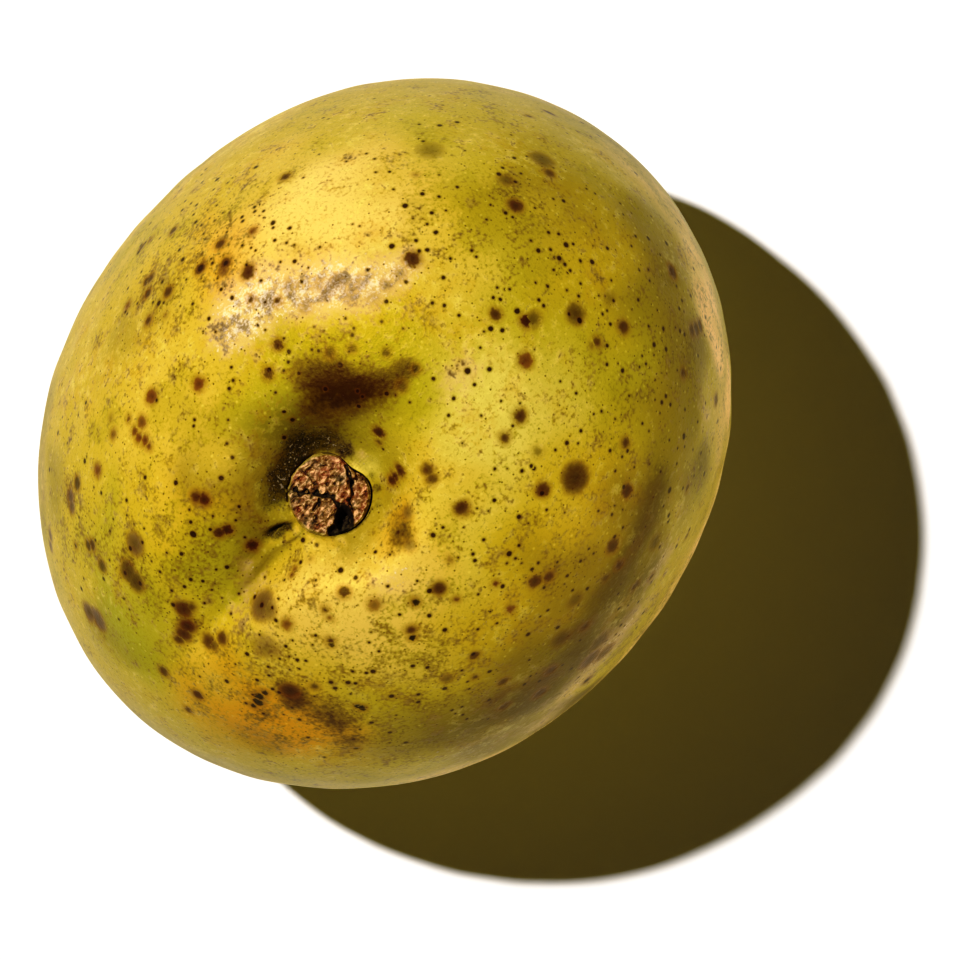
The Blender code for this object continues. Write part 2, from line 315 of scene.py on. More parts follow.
def fruitGrid():
    # Rings of the socket, then rings of the skin at even steps of the polar angle, first on the crown and
    # then on the lower half
    azimuth = np.arange(fruit["segments"]) * (2 * math.pi / fruit["segments"])
    edge = socketEdge(azimuth)
    radius = math.sqrt(fruit["width"] * fruit["thickness"]) / 2
    start = np.arcsin((edge + fruit["lipRadius"]) / radius)
    share = np.linspace(0.0, 1.0, fruit["crownRings"])[:, None]
    crown = start + (math.pi / 2 - start) * share
    share = np.linspace(0.0, 1.0, fruit["apexRings"] + 2)[1:-1, None]
    apex = np.broadcast_to(math.pi / 2 * (1.0 + share), (fruit["apexRings"], fruit["segments"]))
    polar = np.concatenate([crown, apex])
    skin = skinPoints(polar, np.broadcast_to(azimuth, polar.shape))
    # Socket: a floor that spreads from the middle, a wall, and a quarter round up to the skin. Its rings
    # are given as shares of the radius, of the depth and of the quarter turn.
    centre = np.array([*fruit["stem"], 0.0])
    outward = np.stack([np.cos(azimuth), np.sin(azimuth), np.zeros_like(azimuth)], axis=-1)
    rim = skin[0]
    rings = []
    for spread in (0.25, 0.5, 0.75, 0.92):
        ring = centre + outward * (edge * spread)[:, None]
        ring[:, 2] = rim[:, 2].mean() - fruit["socketDepth"]
        rings.append(ring)
    for depth in (1.0, 0.75, 0.5, 0.3, 0.16):
        ring = centre + outward * edge[:, None]
        ring[:, 2] = rim[:, 2] - fruit["socketDepth"] * depth
        rings.append(ring)
    for turn in (0.0, 0.3, 0.6, 0.85):
        angle = turn * math.pi / 2
        ring = centre + outward * (edge + fruit["lipRadius"] * (1.0 - math.cos(angle)))[:, None]
        ring[:, 2] = rim[:, 2] - fruit["lipRadius"] * (1.0 - math.sin(angle))
        rings.append(ring)
    grid = np.concatenate([np.stack(rings), skin])
    top = centre + [0.0, 0.0, grid[0, :, 2].mean()]
    bottom = skinPoints(np.array([math.pi]), np.zeros(1))[0]
    return top, grid, bottom


def fitToNode(node, *parts):
    # Shifts and stretches points, by a few hundredths of a millimetre, to just inside a CAD node's box
    low, high = (np.array(corner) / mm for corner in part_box(node))
    points = np.concatenate([np.reshape(part, (-1, 3)) for part in parts])
    least, most = points.min(axis=0), points.max(axis=0)
    margin = 0.01
    scale = (high - low - 2 * margin) / (most - least)
    return [low + margin + (part - least) * scale for part in parts]


# Marks on the skin, each a place in the photograph's pixels and a size
marks = dict(
    dotEdge=1.4,  # width of a dot's soft edge in pixels
    dotTrim=0.2,  # pixels by which the soft edge makes a dot look larger
    # Round dark dots: x, y, radius in pixels
    dots=(
        (244, 246, 1.8), (257, 250, 1.3), (288, 243, 1.8), (276, 241, 2.0), (202, 268, 3.8),
        (213, 264, 2.0), (224, 263, 3.0), (216, 279, 1.2), (225, 286, 1.2), (231, 297, 2.3),
        (265, 303, 1.6), (193, 304, 1.8), (210, 318, 2.0), (205, 331, 1.3), (215, 332, 1.3),
        (257, 326, 1.5), (266, 331, 1.4), (285, 338, 1.5), (290, 353, 2.2), (289, 362, 1.8),
        (284, 372, 1.7), (269, 369, 2.2), (233, 368, 1.6), (232, 380, 1.6), (230, 389, 1.9),
        (276, 393, 1.5), (284, 412, 2.0), (293, 420, 2.2), (227, 420, 1.3), (194, 418, 1.8),
        (194, 426, 1.5), (312, 349, 1.6), (318, 351, 1.8), (353, 329, 1.4), (352, 336, 2.0),
        (348, 350, 1.4), (381, 321, 1.5), (346, 318, 1.5), (315, 328, 1.2), (324, 330, 1.2),
        (404, 329, 1.2), (387, 301, 2.0), (406, 283, 2.0), (369, 270, 1.8), (393, 246, 2.8),
        (426, 250, 2.4), (419, 249, 1.7), (416, 241, 2.0), (295, 262, 2.0), (279, 263, 1.3),
        (308, 267, 1.2), (303, 281, 1.5), (387, 392, 2.2), (395, 395, 1.3), (411, 401, 1.3),
        (340, 366, 3.0), (325, 388, 2.2), (299, 373, 1.7), (358, 391, 2.0), (363, 396, 2.0),
        (359, 406, 2.0), (63, 383, 1.2), (86, 402, 1.8), (63, 416, 1.4), (78, 415, 1.6), (58, 432, 2.2),
        (67, 445, 1.2), (84, 461, 2.5), (87, 456, 1.4), (94, 487, 1.3), (101, 495, 2.0), (79, 515, 1.4),
        (50, 468, 2.0), (126, 499, 2.0), (127, 515, 1.4), (114, 519, 1.3), (110, 532, 1.7),
        (144, 530, 1.2), (144, 478, 2.0), (176, 482, 2.4), (228, 444, 1.8), (232, 457, 2.1),
        (222, 479, 2.8), (239, 507, 1.8), (189, 510, 1.4), (214, 516, 1.4), (192, 523, 1.9),
        (193, 534, 3.4), (211, 530, 1.7), (244, 537, 1.7), (237, 520, 1.3), (181, 553, 2.2),
        (167, 553, 1.4), (152, 561, 1.2), (159, 572, 1.9), (131, 550, 2.4), (142, 541, 1.8),
        (125, 571, 2.6), (140, 582, 2.6), (110, 561, 1.5), (96, 541, 1.6), (73, 558, 1.4),
        (103, 577, 2.0), (83, 577, 1.4), (82, 591, 2.2), (118, 619, 1.8), (124, 600, 1.4),
        (130, 610, 1.3), (171, 590, 1.8), (184, 587, 2.0), (190, 580, 2.2), (203, 582, 1.6),
        (211, 590, 1.2), (223, 598, 1.4), (215, 569, 1.5), (227, 567, 2.4), (203, 603, 1.8),
        (172, 604, 2.5), (239, 592, 1.6), (230, 614, 1.7), (155, 401, 2.0), (264, 578, 1.4),
        (284, 581, 1.3), (316, 579, 1.3), (301, 561, 2.0), (341, 571, 3.0), (356, 577, 2.0),
        (417, 580, 1.3), (429, 592, 2.6), (388, 586, 1.8), (400, 614, 1.6), (429, 615, 2.4),
        (379, 651, 1.8), (368, 642, 1.5), (370, 632, 1.2), (315, 636, 1.8), (292, 639, 1.3),
        (276, 621, 2.0), (278, 598, 1.4), (262, 605, 3.0), (255, 596, 2.2), (271, 608, 1.6),
        (260, 635, 1.4), (287, 646, 2.0), (248, 654, 2.4), (235, 665, 1.1), (200, 676, 1.4),
        (225, 681, 2.6), (256, 679, 2.2), (269, 675, 2.0), (267, 666, 1.8), (281, 659, 1.4),
        (290, 656, 1.3), (297, 660, 2.2), (305, 660, 1.8), (299, 668, 1.4), (289, 670, 1.3),
        (313, 644, 1.3), (272, 688, 2.2), (278, 693, 2.2), (315, 696, 1.4), (331, 682, 2.6),
        (336, 688, 2.6), (347, 683, 2.8), (355, 683, 2.2), (352, 671, 2.0), (367, 673, 2.0),
        (373, 671, 2.8), (349, 694, 1.5), (370, 724, 2.4), (358, 730, 1.4), (392, 697, 2.8),
        (391, 732, 2.2), (396, 715, 1.3), (389, 743, 1.3), (407, 742, 2.4), (414, 666, 2.2),
        (427, 668, 2.4), (417, 695, 2.4), (420, 701, 2.3), (354, 739, 2.0), (306, 737, 2.0),
        (322, 758, 1.9), (296, 768, 1.5), (263, 713, 2.0), (245, 703, 2.0), (251, 694, 1.3),
        (284, 715, 1.3), (290, 708, 2.0), (300, 720, 2.2), (442, 277, 2.2), (446, 305, 1.9),
        (432, 303, 1.8), (496, 288, 1.5), (510, 290, 1.6), (494, 297, 1.7), (501, 301, 1.8),
        (518, 310, 3.0), (491, 327, 2.6), (503, 331, 2.4), (485, 332, 1.2), (540, 300, 1.9),
        (543, 306, 2.0), (548, 288, 1.9), (580, 296, 1.7), (581, 282, 1.4), (568, 291, 1.3),
        (554, 270, 1.6), (566, 266, 2.0), (572, 271, 1.8), (582, 261, 2.0), (591, 261, 2.8),
        (559, 260, 2.8), (570, 313, 1.6), (580, 318, 3.0), (609, 324, 1.9), (609, 347, 2.0),
        (613, 301, 1.9), (606, 298, 1.2), (639, 301, 2.0), (612, 281, 1.2), (663, 328, 2.5),
        (653, 344, 2.6), (665, 347, 2.4), (654, 356, 1.2), (641, 354, 1.2), (645, 364, 1.8),
        (640, 368, 1.4), (623, 369, 2.3), (608, 365, 2.0), (656, 380, 1.2), (535, 349, 1.3),
        (469, 370, 3.0), (491, 369, 2.3), (434, 378, 1.9), (459, 315, 1.5), (480, 346, 1.2),
        (474, 384, 1.5), (454, 399, 2.0), (559, 380, 1.2), (575, 393, 1.4), (500, 402, 1.3),
        (519, 404, 1.3), (449, 416, 1.6), (481, 416, 1.5), (513, 426, 1.3), (602, 411, 1.9),
        (595, 415, 1.4), (615, 419, 1.4), (581, 432, 1.9), (568, 444, 2.4), (579, 444, 1.4),
        (554, 450, 1.4), (643, 425, 1.7), (611, 452, 1.9), (627, 449, 2.0), (622, 457, 1.4),
        (462, 443, 1.3), (496, 468, 1.8), (507, 469, 1.0), (530, 467, 2.0), (534, 467, 2.0),
        (522, 471, 2.0), (541, 493, 2.6), (614, 471, 1.7), (635, 466, 1.3), (651, 465, 1.3),
        (303, 541, 2.6), (317, 544, 2.2), (284, 437, 2.0), (384, 448, 1.4), (376, 553, 1.8),
        (389, 554, 1.3), (584, 124, 2.6), (600, 137, 2.4), (515, 159, 2.2), (527, 158, 1.2),
        (504, 170, 1.8), (501, 175, 2.4), (521, 175, 1.5), (515, 180, 2.2), (518, 184, 1.2),
        (553, 167, 1.2), (505, 212, 2.4), (511, 216, 1.5), (488, 221, 1.5), (490, 205, 1.3),
        (537, 209, 1.2), (564, 202, 2), (555, 199, 1.3), (588, 190, 1.3), (593, 193, 1.2),
        (558, 232, 1.8), (550, 233, 1.8), (530, 240, 1.6), (538, 250, 2.6), (550, 251, 1.8),
        (567, 246, 3), (573, 245, 1.6), (554, 258, 1.8), (568, 271, 1.4), (607, 246, 2.2),
        (632, 246, 1.6), (636, 237, 2), (650, 240, 2.6), (666, 242, 2.6), (660, 254, 1.4),
        (635, 173, 2.4), (677, 220, 1.8), (677, 225, 1.6), (680, 212, 1.6), (693, 268, 1.8),
        (678, 288, 1.8), (690, 294, 2.2), (651, 281, 1.8), (640, 271, 1.5), (648, 269, 1.8),
        (503, 289, 1.2), (535, 284, 1.2), (598, 294, 1.2), (495, 105, 1), (511, 135, 1), (567, 133, 1.2),
        (650, 214, 1), (622, 204, 1.2), (631, 212, 1.2), (622, 213, 1.2), (614, 217, 1), (596, 226, 1),
        (604, 314, 1.5), (609, 312, 1.3), (631, 310, 1), (657, 310, 1.2), (650, 328, 1.8),
        (674, 326, 1.5), (679, 330, 2.4), (683, 333, 2.4), (705, 316, 2), (679, 309, 2), (682, 302, 2),
        (685, 313, 1.6), (650, 367, 1.1), (618, 364, 1.1), (677, 370, 1.3), (698, 357, 1.6),
        (705, 337, 1.6), (721, 325, 1.6), (716, 347, 1.4), (721, 344, 1.4), (720, 367, 2),
        (728, 370, 1.2), (718, 422, 2), (706, 403, 1.5), (630, 396, 1.3), (667, 397, 2.2),
        (663, 404, 2.2), (670, 403, 2), (654, 400, 1.3), (660, 412, 1.1), (649, 432, 1.2),
        (684, 409, 1.6), (697, 422, 1.6), (683, 434, 3.4), (703, 430, 1.1), (713, 439, 1.5),
        (709, 450, 1.2), (718, 450, 1.5), (701, 454, 2), (677, 447, 1.3), (685, 447, 1.3),
        (693, 447, 1.2), (670, 442, 1.1), (660, 472, 1.8), (678, 465, 1.6), (704, 474, 2.8),
        (694, 478, 1.6), (683, 487, 1.8), (669, 489, 3.2), (623, 489, 2.4), (663, 507, 1.6),
        (612, 515, 2), (614, 504, 1.3), (622, 508, 1.1), (668, 516, 2.6), (669, 522, 2.4),
        (645, 525, 1.3), (624, 529, 1.6), (653, 499, 1.2), (689, 529, 2.4), (495, 500, 2),
        (489, 512, 1.4), (478, 508, 1), (520, 517, 2.6), (528, 523, 1), (547, 510, 1.4), (565, 511, 1.1),
        (599, 511, 1.3), (443, 528, 1.5), (433, 536, 2.6), (484, 539, 2), (519, 544, 1.8),
        (509, 552, 2.8), (515, 557, 1.8), (472, 554, 2), (474, 561, 2.2), (506, 562, 1.3),
        (522, 564, 1.3), (459, 557, 1.3), (537, 564, 1.8), (533, 570, 2), (557, 564, 1.6),
        (588, 549, 1.4), (593, 554, 1.6), (580, 560, 2), (615, 537, 2), (634, 543, 1.6), (640, 548, 1.2),
        (659, 549, 2), (676, 547, 2.4), (663, 556, 1.6), (544, 587, 2), (568, 577, 2), (564, 585, 1.4),
        (573, 592, 1.8), (587, 589, 2.4), (620, 586, 1.3), (618, 592, 1.8), (651, 584, 2),
        (502, 586, 2.2), (477, 594, 1.6), (490, 610, 1.2), (548, 610, 2), (540, 618, 1.4),
        (578, 607, 1.4), (609, 607, 1.4), (619, 611, 2), (629, 604, 1.6), (638, 603, 2), (643, 615, 2.6),
        (637, 625, 1.8), (620, 627, 2.2), (616, 633, 1.8), (620, 633, 1.4), (625, 624, 1.4),
        (650, 611, 1.6), (444, 630, 2.6), (477, 630, 1.6), (498, 623, 1.4), (528, 633, 2.8),
        (558, 629, 2.8), (567, 637, 1.2), (581, 639, 1.8), (475, 653, 2.4), (530, 659, 2),
        (540, 679, 2.6), (535, 676, 1.8), (530, 678, 1.8), (526, 683, 2.6), (563, 663, 2),
        (571, 669, 2.4), (488, 673, 2.4), (461, 670, 1.8), (468, 681, 1.4), (443, 689, 2.6),
        (468, 690, 1.6), (578, 678, 2), (587, 679, 3), (463, 705, 2), (488, 702, 2.4), (451, 712, 2),
        (454, 715, 1.8), (463, 714, 1.8), (467, 718, 2), (489, 717, 1.8), (257, 167, 2.6),
        (215, 180, 2.8), (226, 183, 1.5), (230, 179, 1), (215, 189, 1.6), (201, 182, 2), (202, 175, 1.6),
        (207, 169, 1.8), (179, 187, 2), (198, 204, 2), (190, 204, 1.6), (181, 210, 2), (186, 201, 1.6),
        (195, 222, 2.2), (203, 225, 1.8), (214, 221, 1.5), (209, 219, 1.2), (194, 215, 1.4),
        (206, 210, 1), (219, 205, 1.3), (222, 213, 1.3), (196, 227, 1.2), (257, 205, 1.6), (255, 208, 2),
        (253, 212, 2), (264, 211, 1.6), (258, 216, 1.1), (241, 217, 2), (244, 220, 2), (265, 217, 1),
        (273, 223, 2.8), (275, 228, 1.4), (289, 229, 2), (253, 247, 1.2), (228, 231, 1.4),
        (206, 234, 1.6), (207, 239, 1.5), (181, 250, 2), (181, 261, 2.6), (210, 260, 1.4),
        (248, 264, 1.6), (142, 245, 2.6), (138, 253, 2.6), (151, 223, 1.6), (146, 230, 1),
        (158, 239, 1.2), (146, 242, 2), (161, 283, 2.2), (158, 304, 3), (154, 301, 1.4), (165, 302, 1.6),
        (126, 289, 1.6), (124, 312, 1.8), (128, 314, 1.6), (136, 304, 1.3), (142, 271, 1.4),
        (126, 276, 1.2), (186, 280, 1.4), (180, 306, 1.1), (109, 309, 1), (108, 271, 1.6),
        (111, 264, 1.6), (103, 277, 1.6), (223, 289, 1.8), (261, 281, 1.8), (326, 96, 1.4),
        (324, 118, 1.4), (328, 119, 1.1), (308, 118, 1), (345, 161, 1.3), (366, 153, 1.3),
        (375, 158, 1.5), (388, 170, 1.3), (376, 173, 1.4), (439, 126, 2.6), (457, 122, 2.4),
        (425, 142, 1.8), (421, 139, 1.4), (465, 150, 1.3), (393, 189, 1.5), (421, 193, 2.4),
        (425, 192, 1.5), (406, 205, 3), (431, 211, 2.2), (440, 198, 1.8), (456, 187, 1.8),
        (447, 211, 1.2), (426, 223, 1.6), (435, 233, 2.6), (473, 250, 1.8), (475, 258, 1.4),
        (451, 257, 1.6), (412, 219, 1.2), (319, 155, 1), (374, 99, 1.2), (444, 105, 1.2), (321, 247, 1.4),
        (302, 178, 1.2), (293, 244, 1.4), (429, 95, 1.2), (420, 125, 1.5), (439, 174, 1.1), (359, 227, 1),
        (353, 225, 1),
    ),
    # Blots with soft edges, by tint: x, y, radius and width of the edge in pixels, strength
    blots=dict(
        brown=("#4A2016", (
            (221, 243, 5.5, 3.2, 0.85), (248, 273, 6.9, 4.2, 0.9), (412, 260, 7.4, 4.2, 0.9),
            (251, 300, 2.8, 2.5, 0.8), (279, 302, 2.8, 2.5, 0.85), (277, 344, 5.1, 3.2, 0.9),
            (269, 375, 5.1, 3.2, 0.8), (196, 497, 5.9, 4.2, 0.85), (204, 499, 6.1, 4.2, 0.9),
            (221, 533, 5.3, 3.2, 0.85), (228, 530, 5.3, 3.2, 0.9), (252, 546, 6.0, 3.2, 0.9),
            (197, 695, 5.3, 3.2, 0.9), (187, 709, 4.3, 3.2, 0.8), (208, 641, 7.2, 5.3, 0.8),
            (213, 645, 5.3, 4.2, 0.6), (222, 638, 5.9, 4.2, 0.8), (187, 626, 7.9, 5.3, 0.85),
            (183, 634, 7.9, 5.3, 0.85), (180, 640, 5.3, 4.2, 0.8), (183, 609, 9.2, 6.4, 0.85),
            (190, 607, 5.3, 5.3, 0.7), (344, 591, 4.7, 3.2, 0.85), (326, 611, 2.8, 3.8, 0.8),
            (331, 641, 3.4, 3.2, 0.85), (411, 630, 4.7, 4.2, 0.8), (378, 434, 6.1, 4.2, 0.9),
            (379, 441, 2.4, 3.8, 0.7), (400, 471, 5.9, 4.2, 0.85), (395, 476, 4.7, 3.2, 0.85),
            (391, 480, 5.1, 3.2, 0.85), (429, 470, 5.9, 5.3, 0.75), (431, 479, 5.3, 5.3, 0.75),
            (504, 437, 4.3, 3.2, 0.8), (522, 416, 6.1, 4.2, 0.85), (543, 491, 6.9, 4.2, 0.85),
            (628, 491, 6.7, 4.2, 0.85), (626, 443, 4.7, 4.2, 0.8), (622, 325, 6.7, 5.3, 0.8),
            (598, 343, 4.7, 3.2, 0.75), (497, 314, 5.1, 3.2, 0.8), (528, 322, 6.3, 3.2, 0.95),
            (671, 270, 6.7, 4.2, 0.9), (283, 178, 4.5, 3.2, 0.85), (517, 205, 7.2, 5.3, 0.85),
            (548, 112, 5.3, 3.2, 0.8), (528, 116, 3.4, 3.2, 0.7), (549, 172, 5.3, 4.2, 0.7),
            (613, 546, 7.9, 5.3, 0.85), (619, 564, 5.3, 4.2, 0.8), (534, 582, 6.7, 4.2, 0.85),
            (549, 577, 5.3, 3.2, 0.8), (439, 589, 6.7, 5.3, 0.8), (462, 509, 7.2, 5.3, 0.85),
            (695, 327, 6.7, 5.3, 0.75), (683, 374, 4.7, 4.2, 0.7), (635, 587, 5.3, 4.2, 0.7),
            (651, 579, 3.4, 3.2, 0.7), (688, 487, 3.4, 3.2, 0.6), (687, 533, 3.4, 3.2, 0.6),
            (540, 692, 7.9, 6.4, 0.75), (503, 681, 5.3, 4.2, 0.7), (474, 657, 4.7, 3.2, 0.8),
            (474, 678, 2.8, 3.8, 0.7), (148, 281, 4.7, 3.2, 0.85), (148, 293, 4.5, 3.2, 0.85),
            (166, 293, 5.5, 4.2, 0.85), (150, 319, 4.7, 3.2, 0.8), (171, 231, 4.5, 3.2, 0.8),
            (715, 397, 6.0, 4.2, 0.7), (163, 670, 5.5, 4.2, 0.8), (92, 545, 5.3, 3.2, 0.85),
            (152, 278, 5.5, 5.3, 0.8), (142, 247, 4.5, 4.2, 0.7), (202, 268, 6.1, 3.2, 0.9),
            (224, 263, 5.5, 3.2, 0.85), (692, 330, 6.0, 5.3, 0.75), (700, 326, 6.0, 5.3, 0.8),
            (503, 708, 6.0, 5.3, 0.7), (551, 669, 6.7, 6.4, 0.75), (586, 626, 5.3, 6.4, 0.6),
            (587, 679, 4.7, 5.3, 0.7), (606, 579, 4.5, 6.4, 0.5), (447, 679, 5.3, 6.4, 0.5),
            (330, 352, 4.5, 4.2, 0.6), (352, 350, 3.4, 4.2, 0.6), (386, 352, 3.4, 4.2, 0.6),
            (402, 386, 5.3, 5.3, 0.6),
        )),
        reddish=("#703420", (
            (152, 397, 6.9, 3.2, 0.85), (134, 431, 4.5, 3.2, 0.8), (139, 436, 4.7, 3.2, 0.85),
            (144, 441, 5.1, 3.2, 0.85), (149, 445, 3.4, 3.2, 0.8), (141, 423, 6.0, 3.2, 0.75),
            (129, 417, 2.6, 2.5, 0.7), (198, 384, 6.3, 3.2, 0.85), (374, 606, 6.1, 4.2, 0.6),
            (295, 568, 2.8, 3.8, 0.65), (293, 574, 2.8, 3.8, 0.65), (286, 624, 5.3, 4.2, 0.75),
            (98, 471, 6.1, 5.3, 0.8), (110, 418, 3.0, 5.0, 0.3), (113, 436, 4.7, 4.2, 0.6),
            (525, 359, 7.4, 3.2, 0.8), (204, 262, 3.4, 4.2, 0.5), (330, 617, 2.4, 3.8, 0.6),
            (61, 401, 2.5, 3.8, 0.5), (222, 272, 5.3, 5.3, 0.45), (150, 240, 3.4, 4.2, 0.5),
            (310, 560, 2.0, 3.8, 0.3), (449, 560, 3.4, 4.2, 0.4), (590, 345, 3.4, 4.2, 0.4),
            (252, 232, 4.5, 3.2, 0.7), (129, 305, 4.7, 4.2, 0.7), (497, 583, 2.8, 3.8, 0.8),
            (512, 609, 4.7, 3.2, 0.8), (455, 600, 2.8, 3.8, 0.7), (164, 316, 2.4, 5.0, 0.5),
            (193, 190, 3.4, 5.3, 0.4), (417, 175, 2.4, 5.0, 0.4),
        )),
        olive=("#46290F", (
            (534, 318, 7.2, 7.5, 0.6), (578, 314, 9.9, 8.5, 0.7), (575, 476, 14.5, 9.5, 0.85),
            (128, 573, 11.3, 6.4, 0.8), (135, 580, 10.6, 6.4, 0.8), (77, 482, 6.3, 4.2, 0.85),
            (102, 564, 6.3, 5.3, 0.75), (88, 545, 5.3, 3.2, 0.85), (76, 545, 2.6, 2.5, 0.85),
            (539, 453, 4.7, 4.2, 0.4), (543, 160, 11.8, 9.5, 0.55), (505, 178, 6.7, 6.4, 0.5),
            (430, 150, 11.8, 12.8, 0.35), (610, 300, 6.9, 11.2, 0.3), (316, 687, 3.4, 4.2, 0.7),
            (291, 690, 8.6, 6.4, 0.85), (560, 640, 10.6, 10.6, 0.5), (600, 640, 11.8, 10.6, 0.5),
            (655, 540, 7.9, 8.5, 0.45), (575, 600, 7.9, 8.5, 0.4),
        )),
        mauve=("#62443A", (
            (134, 543, 11.3, 7.5, 0.75), (70, 498, 7.2, 5.3, 0.8), (72, 505, 6.7, 5.3, 0.75),
            (50, 536, 6.0, 5.3, 0.7), (51, 543, 6.0, 5.3, 0.7), (88, 612, 9.9, 6.4, 0.8),
            (97, 618, 11.8, 7.5, 0.85), (262, 604, 14.5, 8.5, 0.75), (268, 608, 10.6, 8.5, 0.6),
            (338, 281, 4.8, 10.5, 0.3), (325, 292, 5.8, 10.5, 0.28), (305, 309, 5.1, 7, 0.3),
            (290, 287, 5.8, 12.3, 0.25), (385, 285, 4.6, 7, 0.33), (360, 283, 5.8, 12.3, 0.23),
            (400, 273, 5.8, 10.5, 0.3), (590, 660, 13.2, 8.5, 0.7), (604, 652, 11.8, 8.5, 0.6),
            (265, 648, 11.8, 8.5, 0.4), (408, 512, 6.0, 5.3, 0.5), (410, 545, 5.3, 5.3, 0.4),
            (350, 297, 5.8, 10.5, 0.2), (372, 297, 6.9, 12.3, 0.17), (318, 286, 5.8, 12.3, 0.2),
        )),
        black=("#0C0704", (
            (261, 697, 5.3, 2.5, 0.95), (258, 702, 5.1, 2.5, 0.95), (254, 706, 3.0, 2.5, 0.95),
            (264, 693, 3.0, 2.5, 0.9), (358, 705, 2.8, 2.5, 0.95), (361, 707, 3.0, 2.5, 0.95),
            (364, 709, 2.6, 2.5, 0.95), (416, 601, 3.9, 2.5, 0.9), (413, 638, 3.0, 2.5, 0.95),
            (332, 645, 2.2, 2.5, 0.8), (416, 371, 3.0, 3.8, 0.7), (356, 748, 2.6, 2.5, 0.8),
        )),
    ),
    # Spots that have sunk in: x, y, radius in pixels, depth in millimetres
    sunken=(
        (152, 397, 6, 0.16), (139, 436, 6, 0.20), (146, 442, 6, 0.20), (462, 509, 7, 0.20),
        (439, 589, 7, 0.16), (525, 359, 6, 0.14), (522, 417, 7, 0.20), (198, 384, 6, 0.14),
        (134, 543, 7, 0.12), (530, 322, 7, 0.14), (504, 437, 5, 0.12), (578, 316, 7, 0.12),
        (93, 616, 9, 0.12), (248, 273, 6, 0.10), (455, 397, 4, 0.10),
    ),
    # Soft fields: x, y, reach in millimetres, strength. Several hills make one shape. Scuff is pale cork,
    # stain a brown bruise, soot the black mould round the stub together with painted shade on the socket's
    # shaded wall and in the root of the groove, freckle where fine brown specks crowd, and dusk a mottled
    # brown that is mostly painted shade along the dark band inside the lower right rim.
    # Scuff hills at (452, 385), (470, 368), (398, 576) and (380, 588) lie on patches where the key's
    # highlight breaks into glints: their pale cork is partly painted highlight
    scuff=(
        (226, 303, 3.4, 0.5), (240, 324, 3.4, 0.6), (262, 296, 3.6, 0.6), (290, 284, 3.6, 0.6),
        (318, 288, 3.4, 0.6), (345, 290, 3.4, 0.7), (370, 283, 3.2, 0.7), (395, 272, 2.8, 0.7),
        (412, 260, 1.8, 0.5), (452, 385, 2.8, 0.35), (470, 368, 2.2, 0.35), (398, 576, 2.4, 0.45),
        (380, 588, 1.6, 0.3), (600, 655, 4.0, 0.7), (570, 690, 3.5, 0.7), (630, 620, 3.5, 0.6),
        (340, 447, 1.4, 0.7), (362, 455, 1.2, 0.5), (248, 565, 1.4, 0.4), (222, 340, 2.6, 0.6),
        (500, 760, 4.0, 0.6), (450, 770, 4.0, 0.6), (708, 420, 3.0, 0.4), (255, 312, 2.8, 0.6),
        (300, 300, 2.6, 0.4), (330, 272, 2.6, 0.4), (662, 560, 3.0, 0.5), (540, 725, 3.5, 0.6),
        (260, 270, 2.4, 0.3), (255, 590, 2.6, 0.35), (236, 610, 2.4, 0.3), (265, 640, 2.6, 0.35),
    ),
    stain=(
        (304, 372, 2.6, 0.50), (326, 374, 2.8, 0.60), (350, 384, 2.8, 0.60), (372, 384, 2.4, 0.45),
        (408, 368, 1.8, 0.80), (392, 378, 2.0, 0.50), (338, 402, 2.8, 0.45), (362, 402, 2.6, 0.35),
        (315, 400, 2.8, 0.35), (340, 362, 2.4, 0.25), (325, 420, 2.8, 0.25), (350, 418, 2.6, 0.25),
        (300, 410, 2.6, 0.20), (388, 398, 2.4, 0.25), (296, 350, 2.0, 0.15), (328, 712, 3.0, 0.6),
        (340, 726, 2.8, 0.6), (352, 742, 2.4, 0.6), (290, 690, 2.6, 0.8), (293, 706, 2.4, 0.4),
        (335, 700, 2.4, 0.3), (262, 715, 2.4, 0.35), (440, 705, 3.0, 0.4), (398, 525, 2.2, 0.45),
        (396, 545, 2.0, 0.35), (408, 535, 1.8, 0.35), (267, 648, 2.2, 0.35), (262, 520, 1.6, 0.4),
        (575, 632, 3.0, 0.5), (700, 300, 2.2, 0.4), (660, 600, 2.4, 0.3), (640, 540, 2.2, 0.4),
        (545, 165, 2.0, 0.35), (300, 700, 1.5, 0.4), (205, 262, 2.4, 0.45), (148, 290, 2.2, 0.5),
        (70, 495, 2.0, 0.5), (128, 555, 2.2, 0.5), (90, 612, 2.0, 0.5), (96, 341, 2.0, 0.35),
        (185, 625, 2.4, 0.5), (500, 695, 2.6, 0.5), (545, 680, 2.8, 0.6),
    ),
    # Soot: black mould round the stub, and painted shade on the socket wall that faces away from the key and
    # in the groove's root near (279, 533)
    sootAndShade=(
        (291, 459, 1.6, 0.75), (284, 474, 1.8, 0.85), (282, 492, 1.7, 0.8), (299, 446, 1.5, 0.7),
        (313, 440, 1.4, 0.6), (329, 438, 1.4, 0.6), (344, 444, 1.3, 0.65), (268, 503, 1.6, 0.45),
        (266, 478, 2.4, 0.35), (279, 533, 1.2, 1.2), (272, 537, 0.9, 0.9), (291, 527, 0.7, 0.8),
        (376, 488, 0.7, 0.6), (378, 505, 0.6, 0.5), (372, 474, 0.7, 0.5), (350, 452, 0.9, 0.5),
        (298, 457, 1.0, 0.6), (311, 449, 1.0, 0.5), (327, 446, 1.0, 0.5), (342, 451, 0.9, 0.5),
        (291, 480, 1.0, 0.4), (300, 428, 2.4, 0.35), (335, 424, 2.2, 0.35), (285, 440, 2.4, 0.3),
        (312, 405, 2.6, 0.2),
    ),
    # Folds beside the stem: x, y in pixels, bearing of the fold in the picture, its reach along and across
    # in millimetres, height, and the spacing of parallel ridges, 0 for a single one
    folds=(
